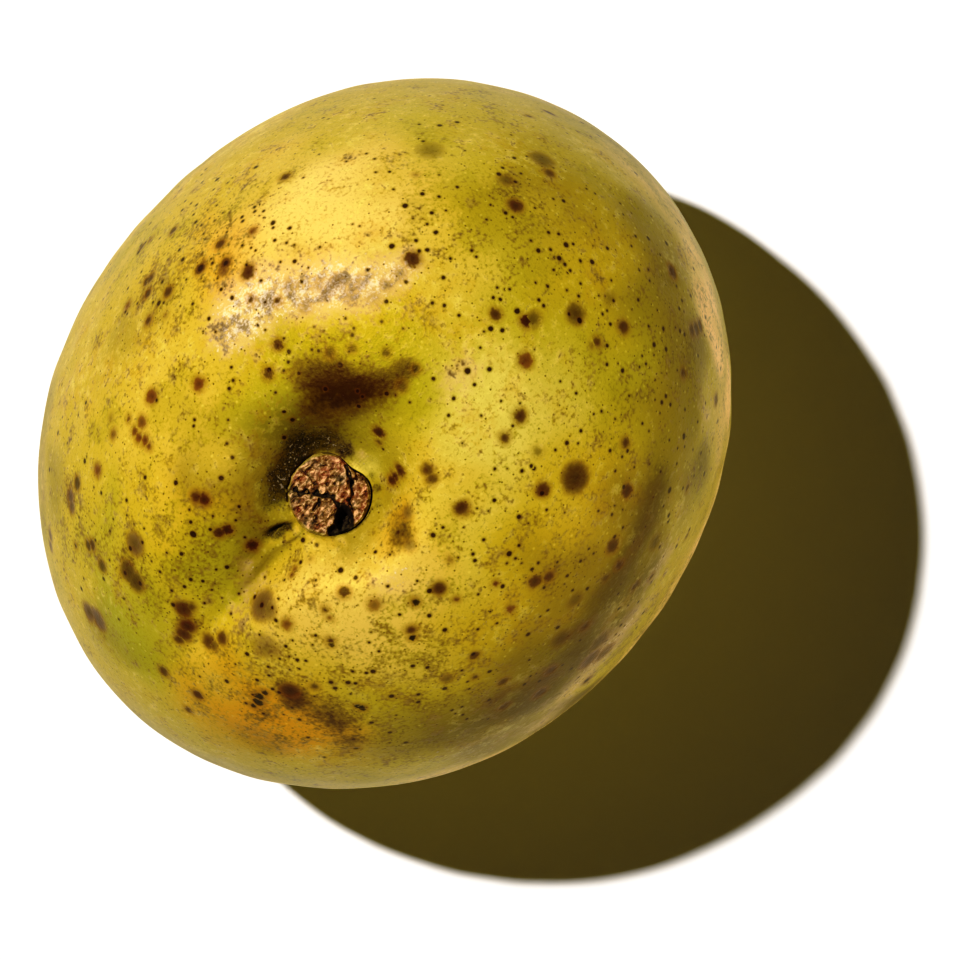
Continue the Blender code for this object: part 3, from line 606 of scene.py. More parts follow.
        (280, 532, 27.0, 1.9, 0.80, -1.15, 0.0), (291, 538, 30.0, 2.2, 0.40, 0.28, 0.0),
        (262, 560, 52.0, 3.2, 0.50, 0.12, 0.0), (250, 566, 54.0, 3.6, 1.30, 0.045, 0.52),
        (234, 588, 54.0, 2.6, 0.80, 0.035, 0.60), (300, 470, 100.0, 3.0, 0.9, 0.03, 0.45),
        (362, 460, 45.0, 1.5, 1.4, 0.02, 0.42),
    ),
    # Steps in the skin, higher on the right-hand side: place, bearing, reaches, height, width of the step
    steps=(
        (250, 567, 48.0, 5.0, 1.8, 0.16, 0.30), (288, 530, 30.0, 1.5, 0.9, 0.30, 0.15),
    ),
    freckle=(
        (205, 245, 10.0, 1.0), (75, 510, 7.0, 0.6), (150, 330, 8.0, 0.4), (160, 200, 7.0, 0.4),
        (330, 640, 12.0, 0.3), (250, 690, 9.0, 0.6), (430, 700, 12.0, 0.9), (560, 560, 12.0, 0.6),
        (540, 200, 10.0, 0.5), (680, 340, 9.0, 0.9), (330, 200, 12.0, -0.5), (400, 130, 10.0, -0.4),
        (470, 400, 8.0, -0.3), (620, 650, 9.0, 0.7), (200, 570, 9.0, 0.7), (120, 560, 8.0, 0.5),
        (340, 330, 9.0, 0.4), (420, 300, 7.0, 0.3), (370, 740, 9.0, 0.8), (230, 470, 7.0, 0.5),
        (400, 640, 8.0, 0.1), (690, 590, 10.0, 0.5), (650, 655, 9.0, 0.5), (725, 480, 9.0, 0.5),
        (590, 715, 9.0, 0.4),
    ),
    # Dusk: a mottled brown, mostly painted shade along the dark band inside the lower right rim where the
    # key's light runs out
    dusk=(
        (645, 520, 4.5, 0.8), (657, 480, 4.0, 0.6), (620, 575, 4.5, 0.8), (590, 622, 4.5, 0.8),
        (574, 658, 4.5, 0.9), (540, 692, 4.5, 0.9), (500, 706, 5.0, 0.8), (465, 738, 4.0, 0.6),
        (625, 622, 2.6, 0.5), (545, 585, 5.0, 0.3), (665, 270, 5.0, 0.5), (692, 342, 4.0, 0.5),
        (705, 460, 3.5, 0.5), (526, 190, 5.0, 0.4), (545, 160, 4.0, 0.3), (100, 622, 3.5, 0.5),
        (262, 738, 5.0, 0.6), (185, 625, 3.0, 0.5), (130, 560, 3.5, 0.4), (222, 252, 4.5, 0.6),
        (415, 262, 3.0, 0.4), (420, 500, 3.0, 0.3), (430, 150, 4.0, 0.3), (640, 400, 4.0, 0.3),
        (70, 500, 3.5, 0.4), (150, 300, 4.0, 0.3), (420, 745, 4.0, 0.4),
    ),
    freckleBase=0.55,
    poreBase=0.4,  # density of the pores in the middle, and millimetres of x over which it rises by 1
    poreSlope=150.0,
    hiddenDots=260,  # more marks of the same kinds where the photograph doesn't reach
    hiddenDotRadius=(1.0, 3.0),
    hiddenBlots=60,
    hiddenBlotRadius=(3.0, 8.0),
    hiddenBlotEdge=0.8,  # share of the radius
    hiddenBlotStrength=(0.4, 0.9),
    seed=11,
)

# Ground colours of the skin, some of them partly painted highlight, rim light or shade, and where each one
# shows: x and y in pixels, reach in millimetres, weight
groundAndLight = dict(
    base="#BAA434",
    zones=dict(
        # A ripe yellow that is partly painted highlight: its strongest hills sit where the crown faces the
        # key and on the lit ridge below the stem
        yellowAndHighlight=("#EACC80", ((320, 225, 10, 2.2), (350, 185, 8, 1.2), (240, 300, 7, 0.3),
                                  (352, 600, 8, 0.9), (388, 618, 6, 1.4), (300, 595, 5, 0.8),
                                  (420, 230, 6, 0.5))),
        # The yellow hills below the stem, about (380, 640) and (388, 620), are partly painted highlight on
        # the lit ridge
        yellow=("#CEB458", ((184, 384, 10, 1.3), (160, 260, 9, 0.3), (250, 330, 8, 0.3),
                            (380, 640, 8, 1.2), (184, 440, 7, 2.0), (430, 560, 8, 0.7),
                            (110, 430, 8, 0.2), (300, 640, 6, 0.9), (500, 256, 7, 1.0),
                            (542, 262, 5, 0.6), (458, 182, 6, 0.5), (388, 620, 7, 2.6),
                            (200, 660, 5, 0.9), (190, 450, 6, 0.7), (182, 536, 5, 0.9),
                            (340, 660, 7, 0.6))),
        # A pale greenish yellow that is partly painted sheen, where the crown right of the stem and the ridge
        # below it catch the key
        pale=("#DCD078", ((480, 384, 8, 1.8), (544, 416, 8, 1.6), (520, 460, 7, 0.8), (400, 120, 9, 0.3),
                          (460, 540, 6, 0.7), (362, 466, 1.6, 1.2), (500, 256, 7, 1.4),
                          (458, 182, 6, 0.8), (545, 258, 5, 0.6), (385, 615, 6, 0.8))),
        gold=("#C0A016", ((608, 464, 10, 1.0), (560, 590, 9, 1.6), (480, 672, 10, 1.4),
                          (610, 250, 9, 1.0), (560, 520, 8, 0.8), (660, 420, 6, 0.5), (500, 250, 8, 1.2),
                          (455, 185, 8, 1.3), (180, 540, 5, 1.3), (545, 262, 6, 1.6))),
        olive=("#A89A14", ((560, 330, 12, 0.9), (400, 120, 9, 0.7), (640, 400, 8, 0.5),
                           (480, 700, 8, 0.5), (335, 345, 7, 1.4), (400, 345, 7, 1.5), (425, 400, 6, 1.3),
                           (265, 340, 6, 1.6), (300, 345, 5, 1.0), (385, 262, 4, 0.6))),
        green=("#90942A", ((110, 520, 6, 0.5), (200, 560, 5, 0.25), (272, 390, 5, 0.9),
                           (145, 655, 6, 1.1), (430, 150, 5, 0.9), (520, 285, 6, 0.6), (110, 600, 6, 0.9),
                           (250, 430, 5, 0.7), (640, 370, 6, 0.6), (230, 585, 4, 0.6), (430, 700, 8, 0.4),
                           (385, 345, 5, 0.9), (420, 375, 4, 0.6))),
        orange=("#CC8C08", ((250, 720, 6.5, 4.0), (305, 735, 5, 3.0), (225, 254, 5.0, 1.1),
                            (205, 225, 4, 0.3), (240, 492, 4, 0.5), (400, 525, 3.4, 1.6),
                            (430, 470, 3, 0.4), (222, 505, 3.5, 0.6), (300, 255, 4, 0.4))),
        # Tan along the rims, strongest inside the lower right rim: partly russet, partly painted rim light
        # that stands for light thrown back from the floor
        tan=("#FFD890", ((729, 400, 4.0, 3.0), (726, 470, 4.5, 4.4), (708, 538, 4.5, 4.0),
                         (680, 592, 4.5, 4.4), (640, 656, 4.5, 3.4), (568, 722, 4.5, 3.0),
                         (490, 764, 4.5, 1.8), (420, 788, 4.5, 1.0), (300, 787, 5, 0.3),
                         (110, 235, 5, 0.4), (704, 300, 4.5, 1.6), (640, 176, 6, 0.6),
                         (692, 250, 4.5, 1.0), (715, 345, 4.0, 2.0), (430, 60, 5, 0.4), (550, 95, 5, 0.8))),
        # Umber: painted shade along the dark band inside the lower right rim and on the darker left and top
        # right rims, mixed with some real brown
        umberAndShade=("#4A2E02", ((640, 530, 5.5, 5.6), (655, 490, 4.5, 2.8), (600, 602, 5, 4.6),
                           (560, 640, 5, 4.2), (510, 690, 5.5, 4.4), (455, 722, 5.5, 2.8),
                           (582, 662, 4.5, 5.0), (582, 694, 3.5, 4.0), (545, 702, 4.5, 4.6),
                           (480, 742, 4.0, 2.4), (590, 560, 6, 2.3), (620, 500, 5, 1.9),
                           (652, 460, 4, 1.0), (500, 742, 4, 1.6), (700, 462, 4, 1.6),
                           (663, 278, 6.5, 1.5), (700, 338, 4, 1.0), (352, 535, 4, 0.9),
                           (385, 500, 4, 0.6), (122, 330, 6, 0.5), (55, 495, 4, 0.5), (100, 622, 4, 0.6),
                           (262, 742, 4, 0.8), (622, 622, 3.5, 2.0), (672, 440, 5, 1.0),
                           (688, 400, 4.5, 0.8), (640, 224, 6, 0.6), (400, 745, 6, 0.9),
                           (524, 192, 7, 1.1), (675, 350, 6, 0.7), (250, 560, 4, 1.0), (560, 180, 7, 0.5),
                           (42, 480, 5, 0.5), (44, 420, 5, 0.4))),
        # Brown round the upper left of the stub: painted shade on the socket's wall that faces away from the
        # key, with some real brown discolouring
        brown=("#4A3406", ((283, 425, 5, 2.4), (258, 465, 5, 2.2), (250, 515, 4, 1.4), (262, 460, 3, 0.8),
                           (320, 420, 4.5, 2.0), (350, 412, 4, 1.2), (300, 400, 4, 0.8))),
    ),
    hiddenZones=26,
    hiddenColours=5,  # of the zones' colours, the first ones show where the photograph doesn't reach
    hiddenWeight=(0.4, 1.2),
    hiddenReach=(6.0, 14.0),
    warp=(11.0, 1.5),  # length and size of the waves that make the zones' outlines uneven
    warpSeeds=(7, 8, 9),
)


def pointsUnder(pixels, seen):
    # The point of the skin that shows nearest to each pixel
    return [int(np.argmin(((seen - pixel) ** 2).sum(axis=1))) for pixel in pixels]


def hillField(hills, places, seen):
    # A sum of round bells, each about the point of the skin that shows at its pixel
    field = np.zeros(len(places))
    centres = pointsUnder([hill[:2] for hill in hills], seen)
    for index, (_, _, reach, strength) in zip(centres, hills):
        distance = np.linalg.norm(places - places[index], axis=1)
        field += strength * np.exp(-((distance / reach) ** 2))
    return field


def foldField(places, seen):
    # A fold is a long round hill on the plan, or a row of cosine ridges that fade out like one. A step is
    # a hyperbolic tangent across its line, and fades out in the same way.
    right, up = screenAxes()
    field = np.zeros(len(places))
    for kind in ("folds", "steps"):
        for x, y, bearing, reachAlong, reachAcross, height, width in marks[kind]:
            turn = math.radians(bearing)
            offset = places[:, :2] - places[pointsUnder([(x, y)], seen)[0], :2]
            along = offset @ (math.cos(turn) * right + math.sin(turn) * up)
            across = offset @ (math.cos(turn) * up - math.sin(turn) * right)
            fade = np.exp(-((along / reachAlong) ** 2) - (across / reachAcross) ** 2)
            if kind == "steps":
                field -= height * np.tanh(across / width) * fade
            else:
                ridges = np.cos(2 * math.pi * across / width) if width else 1.0
                field += height * ridges * fade
    return field * (places[:, 2] > fruit["widestLevel"])


def groundAndLightColours(places, seen):
    # Weighted mean of the base colour and of each zone's colour, where a weight is a round hill. Some zones
    # are partly painted highlight, rim light or shade.
    length, size = groundAndLight["warp"]
    shifts = [waves(places, length, 12, seed) for seed in groundAndLight["warpSeeds"]]
    warped = places + size * np.stack(shifts, axis=-1)
    total = np.ones(len(places))
    colours = np.outer(total, linearColour(groundAndLight["base"]))
    for code, hills in groundAndLight["zones"].values():
        weight = np.maximum(hillField(hills, warped, seen), 0.0)
        colours += np.outer(weight, linearColour(code))
        total += weight
    draw = np.random.default_rng(marks["seed"])
    under = np.flatnonzero(places[:, 2] < photo["widestLevel"] - 6)
    codes = [code for code, _ in groundAndLight["zones"].values()][: groundAndLight["hiddenColours"]]
    for index in draw.choice(under, groundAndLight["hiddenZones"]):
        distance = np.linalg.norm(warped - warped[index], axis=1)
        weight = draw.uniform(*groundAndLight["hiddenWeight"])
        weight = weight * np.exp(-((distance / draw.uniform(*groundAndLight["hiddenReach"])) ** 2))
        colours += np.outer(weight, linearColour(codes[draw.integers(len(codes))]))
        total += weight
    colours /= total[:, None]
    colours[:, 3] = 1.0
    return colours


def nearestMarks(middles, centres, forms):
    # For each face, the mark whose edge is nearest: the distance to its middle, less its radius
    gap = np.full(len(middles), np.inf)
    nearest = np.zeros(len(middles), int)
    for number, (centre, form) in enumerate(zip(centres, forms)):
        distance = np.linalg.norm(middles - centre, axis=1) - form[0]
        closer = distance < gap
        gap[closer] = distance[closer]
        nearest[closer] = number
    return nearest


def markFields(piece, places, seen):
    # Every face keeps the middle and the form of its nearest dot and blot, so the shader draws their edges
    # sharply. A form is radius, width of the edge and strength.
    middles = np.empty(len(piece.data.polygons) * 3)
    piece.data.polygons.foreach_get("center", middles)
    middles = middles.reshape(-1, 3) / mm
    pixel = photo["mmPerPixel"]
    draw = np.random.default_rng(marks["seed"] + 1)
    hidden = places[np.flatnonzero(places[:, 2] < photo["widestLevel"] - 3)]
    dots = list(places[pointsUnder([dot[:2] for dot in marks["dots"]], seen)])
    edge, trim = marks["dotEdge"] * pixel, marks["dotTrim"]
    dotForms = [((radius - trim) * pixel, edge, 1.0) for _, _, radius in marks["dots"]]
    for place in hidden[draw.integers(len(hidden), size=marks["hiddenDots"])]:
        dots.append(place)
        dotForms.append((draw.uniform(*marks["hiddenDotRadius"]) * pixel, edge, 1.0))
    blots, blotForms, tints = [], [], []
    codes = [code for code, _ in marks["blots"].values()]
    for code, group in marks["blots"].values():
        blots += list(places[pointsUnder([blot[:2] for blot in group], seen)])
        blotForms += [(radius * pixel, soft * pixel, strength) for _, _, radius, soft, strength in group]
        tints += [linearColour(code)] * len(group)
    for place in hidden[draw.integers(len(hidden), size=marks["hiddenBlots"])]:
        blots.append(place)
        radius = draw.uniform(*marks["hiddenBlotRadius"])
        strength = draw.uniform(*marks["hiddenBlotStrength"])
        blotForms.append((radius * pixel, marks["hiddenBlotEdge"] * radius * pixel, strength))
        tints.append(linearColour(codes[draw.integers(len(codes))]))
    for name, centres, forms in (("dot", dots, dotForms), ("blot", blots, blotForms)):
        centres, forms = np.array(centres), np.array(forms)
        nearest = nearestMarks(middles, centres, forms)
        setAttribute(piece, name + "Centre", "FLOAT_VECTOR", centres[nearest] * mm, "FACE")
        setAttribute(piece, name + "Form", "FLOAT_VECTOR", forms[nearest] * [mm, mm, 1.0], "FACE")
    setAttribute(piece, "blotTint", "FLOAT_COLOR", np.array(tints)[nearest], "FACE")


# Stub: a dry, broken disc of fibrous wood with a lower crescent, cracks and a dark crevice
stub = dict(
    radius=5.3,
    dents=((3, 0.6, 0.035), (5, 0.0, 0.02)),  # count round the edge, phase, share of the radius
    overlap=(47.0, 24.0, 0.17),  # where the skin has grown over the edge: bearing, reach, share of the radius
    length=4.6,
    topGap=0.15,  # from the top of the CAD node down to the middle of the face
    closeGap=0.02,  # between the stub and the skin
    openGap=0.18,  # what is added to it on the open side
    gapAngle=-12.0,  # the side of the picture on which the skin stands off
    dome=0.35,
    ledgeStart=2.6,  # the lower crescent starts this far to the right of the middle
    ledgeDrop=0.9,
    ledgeStep=0.4,
    ledgeWaves=(2.2, 0.25),  # length and size of its wavering edge
    crevice=((1.9, -3.5, 1.0, 1.9, 2.6), (1.0, -4.6, 1.0, 0.8, 1.6)),  # right, up, reaches, depth
    cracks=(  # ends in millimetres to the right and up of the middle, width, depth
        ((-4.8, 0.5), (-2.0, 0.1), 0.22, 0.6),
        ((-2.0, 0.1), (0.4, -0.3), 0.28, 0.7),
        ((0.4, -0.3), (1.4, -2.0), 0.25, 0.6),
        ((2.4, 3.4), (2.9, 1.2), 0.20, 0.7),
        ((2.9, 1.2), (2.6, -1.6), 0.16, 0.5),
        ((-3.4, 3.0), (-1.4, 1.4), 0.16, 0.35),
        ((-1.2, -0.6), (-1.9, -3.6), 0.18, 0.4),
        ((0.2, 3.9), (0.9, 1.6), 0.14, 0.3),
    ),
    crackWaves=(1.1, 0.16),  # length and size of their wandering
    fibreAngle=52.0,  # degrees from the picture's right-hand side
    fibreStretch=0.75,  # chips are longer along the fibres
    chips=((1.7, 0.42), (0.75, 0.22), (0.36, 0.08)),  # length and height
    barkBand=(0.86, 0.10),  # where the bark's colour starts and how wide it comes in, as shares of the radius
    roundBand=(0.93, 0.07),  # where the face rounds off into the wall
    roundDrop=0.45,
    segments=220,
    faceRings=100,
)


def stubRadius(azimuth):
    # A circle, less slow sine dents round its edge, less a bell where the skin has grown over it
    dents = sum(share * (1.0 + np.sin(count * azimuth + phase)) / 2 for count, phase, share in stub["dents"])
    bearing, reach, share = stub["overlap"]
    turned = np.degrees(azimuth) + photo["roll"] - bearing
    away = np.abs((turned + 180.0) % 360.0 - 180.0)
    return stub["radius"] * (1.0 - dents - share * np.exp(-((away / reach) ** 2)))


def stubFace(x, y):
    # A shallow dome with a lower crescent, chips that run along the fibres, cracks and a crevice
    right, up = screenAxes()
    across, upward = x * right[0] + y * right[1], x * up[0] + y * up[1]
    place = np.stack([across, upward], axis=-1)
    distance = np.hypot(x, y) / stub["radius"]
    length, size = stub["ledgeWaves"]
    fromLedge = across - stub["ledgeStart"] + size * waves(place, length, 8, 3)
    ledge = smoothStep(fromLedge / stub["ledgeStep"])
    height = -stub["dome"] * distance**2 - stub["ledgeDrop"] * ledge
    angle = math.radians(stub["fibreAngle"])
    along = across * math.cos(angle) + upward * math.sin(angle)
    aside = -across * math.sin(angle) + upward * math.cos(angle)
    fibres = np.stack([along * stub["fibreStretch"], aside], axis=-1)
    for seed, (length, rise) in enumerate(stub["chips"]):
        height = height + rise * (0.5 - np.abs(waves(fibres, 2 * length, 14, 20 + seed)))
    hollow = np.zeros_like(x)
    length, size = stub["crackWaves"]
    wander = size * waves(place, length, 8, 31)
    for (startX, startY), (endX, endY), width, depth in stub["cracks"]:
        run = np.array([endX - startX, endY - startY])
        share = np.clip(((place - (startX, startY)) @ run) / (run @ run), 0.0, 1.0)
        gap = np.linalg.norm(place - np.array([startX, startY]) - share[..., None] * run, axis=-1) + wander
        hollow = np.maximum(hollow, depth * np.exp(-((gap / width) ** 2)))
    for centreX, centreY, reachX, reachY, depth in stub["crevice"]:
        inside = np.exp(-(((across - centreX) / reachX) ** 2) - ((upward - centreY) / reachY) ** 2)
        hollow = np.maximum(hollow, depth * smoothStep(1.6 * inside - 0.15))
    start, band = stub["barkBand"]
    edge = smoothStep((distance - start) / band)
    return height - hollow, hollow, ledge, edge


def stubGrid():
    # A face of rings, a rounded edge, a wall and a foot
    azimuth = np.arange(stub["segments"]) * (2 * math.pi / stub["segments"])
    share = np.linspace(0.0, 1.0, stub["faceRings"] + 1)[1:, None]
    radius = stubRadius(azimuth) * share
    x, y = radius * np.cos(azimuth), radius * np.sin(azimuth)
    height, hollow, ledge, edge = stubFace(x, y)
    start, band = stub["roundBand"]
    height = height - stub["roundDrop"] * smoothStep((share - start) / band) ** 2
    face = np.stack([x, y, height], axis=-1)
    facts = np.stack([hollow, ledge, edge], axis=-1)
    rim = face[-1]
    rings = []
    # Below the face: shares of the length, and shares of the radius by which a ring lies further in
    for depth, inset in ((0.3, -0.01), (0.6, 0.0), (0.85, 0.0), (1.0, 0.03), (1.0, 0.3), (1.0, 0.65)):
        ring = rim * [1.0 - inset, 1.0 - inset, 1.0]
        ring[:, 2] = rim[:, 2] * (1.0 - depth) - stub["length"] * depth
        rings.append(ring)
    grid = np.concatenate([face, np.stack(rings)])
    facts = np.concatenate([facts, np.tile(facts[-1], (len(rings), 1, 1)) * [0.0, 1.0, 1.0]])
    return grid, facts


# Mango skin is a waxy cuticle over yellow flesh: a semi-gloss that breaks up over rough russet, with pale
# corky pores, dark round dots and soft bruises under it
skin = dict(
    roughness=0.44,
    russetRoughness=0.56,
    ior=1.45,
    specular=0.30,
    sheenTint="#FFD880",  # the mirror light on a waxy skin is a little yellow
    noise=dict(  # size in mm, detail
        cloud=(11.0, 1.0),
        mottle=(3.2, 2.0),
        fray=(1.3, 2.0),
        fine=(0.5, 1.0),
        grain=(0.26, 1.0),
    ),
    # Masks: what each one adds up, with the noises taken about 0, and where its rise starts and ends
    masks=dict(
        shade=({"cloud": 1.0, "mottle": 0.6, "fine": 0.3}, 0.02, 0.22),
        amber=({"mottle": 1.0, "cloud": -0.8, "fine": 0.5}, 0.00, 0.34),
        glow=({"fray": 1.0, "cloud": -0.6, "fine": 0.6}, 0.00, 0.34),
        grit=({"fine": 1.0, "grain": 0.8}, 0.00, 0.30),
        # Pale grey specks in the mould round the stub: painted glints
        sootGlint=({"sootAndShade": 0.5, "fine": 2.2, "grain": 1.4}, 0.75, 1.15),
        haze=({"freckle": 0.38, "mottle": 1.2, "fray": 1.0, "fine": 1.2}, 0.28, 0.92),
        scuffBase=({"scuff": 1.0, "mottle": 0.8, "fray": 0.8, "fine": 0.4}, 0.00, 0.80),
        scuffDark=({"scuff": 0.6, "mottle": 1.2, "fray": 1.4, "fine": 0.9}, 0.40, 1.00),
        # Cream-white specks over the russet: painted glints where the rough skin breaks up the key's
        # highlight
        scuffGlint=({"scuff": 0.6, "fine": 1.4, "grain": 1.0, "fray": -0.4, "mottle": -0.6}, 0.46, 1.10),
        # Dusk mask: mottled brown and painted shade in the dark band inside the lower right rim
        dusk=({"dusk": 1.0, "cloud": 0.5, "mottle": 0.9, "fray": 0.7, "fine": 0.8}, 0.15, 1.05),
        rough=({"scuff": 1.0}, 0.3, 0.9),
        stain=({"stain": 1.0, "fray": 0.6, "fine": 0.5, "mottle": 0.5}, 0.30, 1.20),
        stainEdge=({"stain": 1.0, "mottle": 0.8, "fray": 0.4, "fine": 0.7}, 0.05, 0.70),
        # Soot mask: the mould round the stub and its painted shade
        sootAndShade=({"sootAndShade": 1.0, "fray": 0.9, "fine": 1.3, "grain": 1.5}, 0.40, 1.50),
        # A soft dark haze round the stub from the soot field: mould and painted shade
        sootHazeAndShade=({"sootAndShade": 1.0, "mottle": 0.7, "fray": 0.3, "fine": 0.4}, 0.06, 0.85),
    ),
    # Dots and blots: how far their edges wander and how far their halos reach, in mm. The dark core of
    # a blot starts and is full at these shares of the radius, from the edge inwards.
    edges=dict(dot=(0.2, 0.30), blot=(0.65, 0.90)),
    core=(-0.25, -0.85),
    # Pores and specks: cell in mm, radius as a share of it, share of the cells kept, softness, strength
    pores=(1.05, 0.17, 0.8, 0.5, 0.30),
    specks=(0.80, 0.15, 0.65, 0.4, 0.80),
    coats=(  # from the ground up: mask, colour, strength
        ("shade", "#968A0C", 0.34),
        ("amber", "#BC901A", 0.30),
        ("glow", "#EEDD7C", 0.36),
        ("grit", "#857008", 0.34),
        ("haze", "#66400E", 0.62),
        ("pores", "#E9DA70", 1.0),
        ("scuffBase", "#DCBC88", 0.50),
        ("scuffDark", "#644E48", 0.70),
        # Painted glints on the russet
        ("scuffGlint", "#FFF0D6", 0.55),
        # Dark brown for the dusk mask, mostly painted shade
        ("dusk", "#4A2800", 0.58),
        ("stainEdge", "#6A420A", 0.62),
        ("stain", "#34130A", 0.88),
        # Brown haze round the stub, partly painted shade
        ("sootHazeAndShade", "#3A2808", 0.70),
        # Near black for the mould round the stub, partly painted shade
        ("sootAndShade", "#120C08", 0.86),
        # Painted glints on the mould
        ("sootGlint", "#A08C80", 0.75),
        ("specks", "#4A2A06", 1.0),
        ("blotHalo", "#80480F", 0.55),
        ("blot", "blotTint", 0.95),
        ("blotCore", "#1C0D08", 0.50),
        ("dotHalo", "#6A4010", 0.45),
        ("dot", "#2A1010", 0.92),
    ),
    heights=(("fray", 0.05), ("fine", 0.045), ("grain", 0.022), ("blot", -0.05)),  # in mm
    roughHeight=0.10,
)


def fruitSkin():
    # Noises and painted fields make the masks, the masks lay coats over the ground colour
    material, tree = startMaterial("waxy ripe mango skin")
    place = addNode(tree, "ShaderNodeTexCoord").outputs["Object"]
    source = {}
    for name, (size, detail) in skin["noise"].items():
        inputs = {"Vector": place, "Scale": scaleFor(size), "Detail": detail}
        source[name] = addNode(tree, "ShaderNodeTexNoise", inputs).outputs["Fac"]
    wearAndShade = addNode(tree, "ShaderNodeAttribute", attribute_name="wearAndShade").outputs["Vector"]
    source.update(zip(("scuff", "stain", "sootAndShade"), addNode(tree, "ShaderNodeSeparateXYZ", {0: wearAndShade}).outputs))
    touchAndShade = addNode(tree, "ShaderNodeAttribute", attribute_name="touchAndShade").outputs["Vector"]
    freckle, pale, dusk = addNode(tree, "ShaderNodeSeparateXYZ", {0: touchAndShade}).outputs
    source.update(freckle=freckle, dusk=dusk)

    # Each mask is a sum that rises from 0 to 1 over its range
    masks = {}
    for name, (terms, low, high) in skin["masks"].items():
        total = 0.0
        shift = 0.0
        for key, amount in terms.items():
            inputs = {0: source[key], 1: amount, 2: total}
            total = addNode(tree, "ShaderNodeMath", inputs, operation="MULTIPLY_ADD").outputs[0]
            shift += 0.5 * amount if key in skin["noise"] else 0.0
        inputs = {"Value": total, "From Min": low + shift, "From Max": high + shift}
        rise = addNode(tree, "ShaderNodeMapRange", inputs, interpolation_type="SMOOTHSTEP")
        masks[name] = rise.outputs["Result"]

    # Pores and specks: round cells, of which only a share is kept
    for name, density in (("pores", pale), ("specks", freckle)):
        cell, radius, share, softness, strength = skin[name]
        voronoi = addNode(tree, "ShaderNodeTexVoronoi", {"Vector": place, "Scale": scaleFor(cell)})
        inputs = {
            "Value": voronoi.outputs["Distance"],
            "From Min": radius * (1 + softness),
            "From Max": radius * (1 - softness),
            "To Max": strength,
        }
        disc = addNode(tree, "ShaderNodeMapRange", inputs).outputs["Result"]
        chance = addNode(tree, "ShaderNodeSeparateXYZ", {0: voronoi.outputs["Color"]}).outputs["X"]
        limit = addNode(tree, "ShaderNodeMath", {0: density, 1: share}, operation="MULTIPLY").outputs[0]
        gate = addNode(tree, "ShaderNodeMath", {0: chance, 1: limit}, operation="LESS_THAN").outputs[0]
        masks[name] = addNode(tree, "ShaderNodeMath", {0: disc, 1: gate}, operation="MULTIPLY").outputs[0]

    # Dots and blots: the way from the nearest mark's edge, which wanders, over the width of the edge
    inputs = {0: source["fine"], 1: source["fray"]}
    ragged = addNode(tree, "ShaderNodeMath", inputs, operation="ADD").outputs[0]
    ragged = addNode(tree, "ShaderNodeMath", {0: ragged, 1: 1.0}, operation="SUBTRACT").outputs[0]
    for name, (wander, haloReach) in skin["edges"].items():
        centre = addNode(tree, "ShaderNodeAttribute", attribute_name=name + "Centre").outputs["Vector"]
        form = addNode(tree, "ShaderNodeAttribute", attribute_name=name + "Form").outputs["Vector"]
        radius, edge, strength = addNode(tree, "ShaderNodeSeparateXYZ", {0: form}).outputs
        away = addNode(tree, "ShaderNodeVectorMath", {0: place, 1: centre}, operation="DISTANCE")
        inputs = {0: ragged, 1: wander * mm, 2: away.outputs["Value"]}
        away = addNode(tree, "ShaderNodeMath", inputs, operation="MULTIPLY_ADD").outputs[0]
        gap = addNode(tree, "ShaderNodeMath", {0: away, 1: radius}, operation="SUBTRACT").outputs[0]
        share = addNode(tree, "ShaderNodeMath", {0: gap, 1: edge}, operation="DIVIDE").outputs[0]
        inputs = {"Value": share, "From Min": 0.5, "From Max": -0.5}
        inside = addNode(tree, "ShaderNodeMapRange", inputs, interpolation_type="SMOOTHSTEP")
        inputs = {0: inside.outputs["Result"], 1: strength}
        masks[name] = addNode(tree, "ShaderNodeMath", inputs, operation="MULTIPLY").outputs[0]
        inputs = {"Value": gap, "From Min": haloReach * mm, "From Max": 0.0, "To Max": 1.0}
        halo = addNode(tree, "ShaderNodeMapRange", inputs, interpolation_type="SMOOTHSTEP").outputs["Result"]
        inputs = {0: halo, 1: strength}
        masks[name + "Halo"] = addNode(tree, "ShaderNodeMath", inputs, operation="MULTIPLY").outputs[0]
        deep = addNode(tree, "ShaderNodeMath", {0: gap, 1: radius}, operation="DIVIDE").outputs[0]
        inputs = {"Value": deep, "From Min": skin["core"][0], "From Max": skin["core"][1], "To Max": 1.0}
        masks[name + "Core"] = addNode(tree, "ShaderNodeMapRange", inputs).outputs["Result"]
    core = {0: masks["blotCore"], 1: masks["blot"]}
    masks["blotCore"] = addNode(tree, "ShaderNodeMath", core, operation="MULTIPLY").outputs[0]

    # Coats over the ground colour
    colour = addNode(tree, "ShaderNodeAttribute", attribute_name="groundAndLight").outputs["Color"]
    tint = addNode(tree, "ShaderNodeAttribute", attribute_name="blotTint").outputs["Color"]
    for mask, code, strength in skin["coats"]:
        inputs = {0: masks[mask], 1: strength}
        share = addNode(tree, "ShaderNodeMath", inputs, operation="MULTIPLY").outputs[0]
        inputs = {0: share, 6: colour, 7: tint if code == "blotTint" else linearColour(code)}
        colour = addNode(tree, "ShaderNodeMix", inputs, data_type="RGBA").outputs[2]

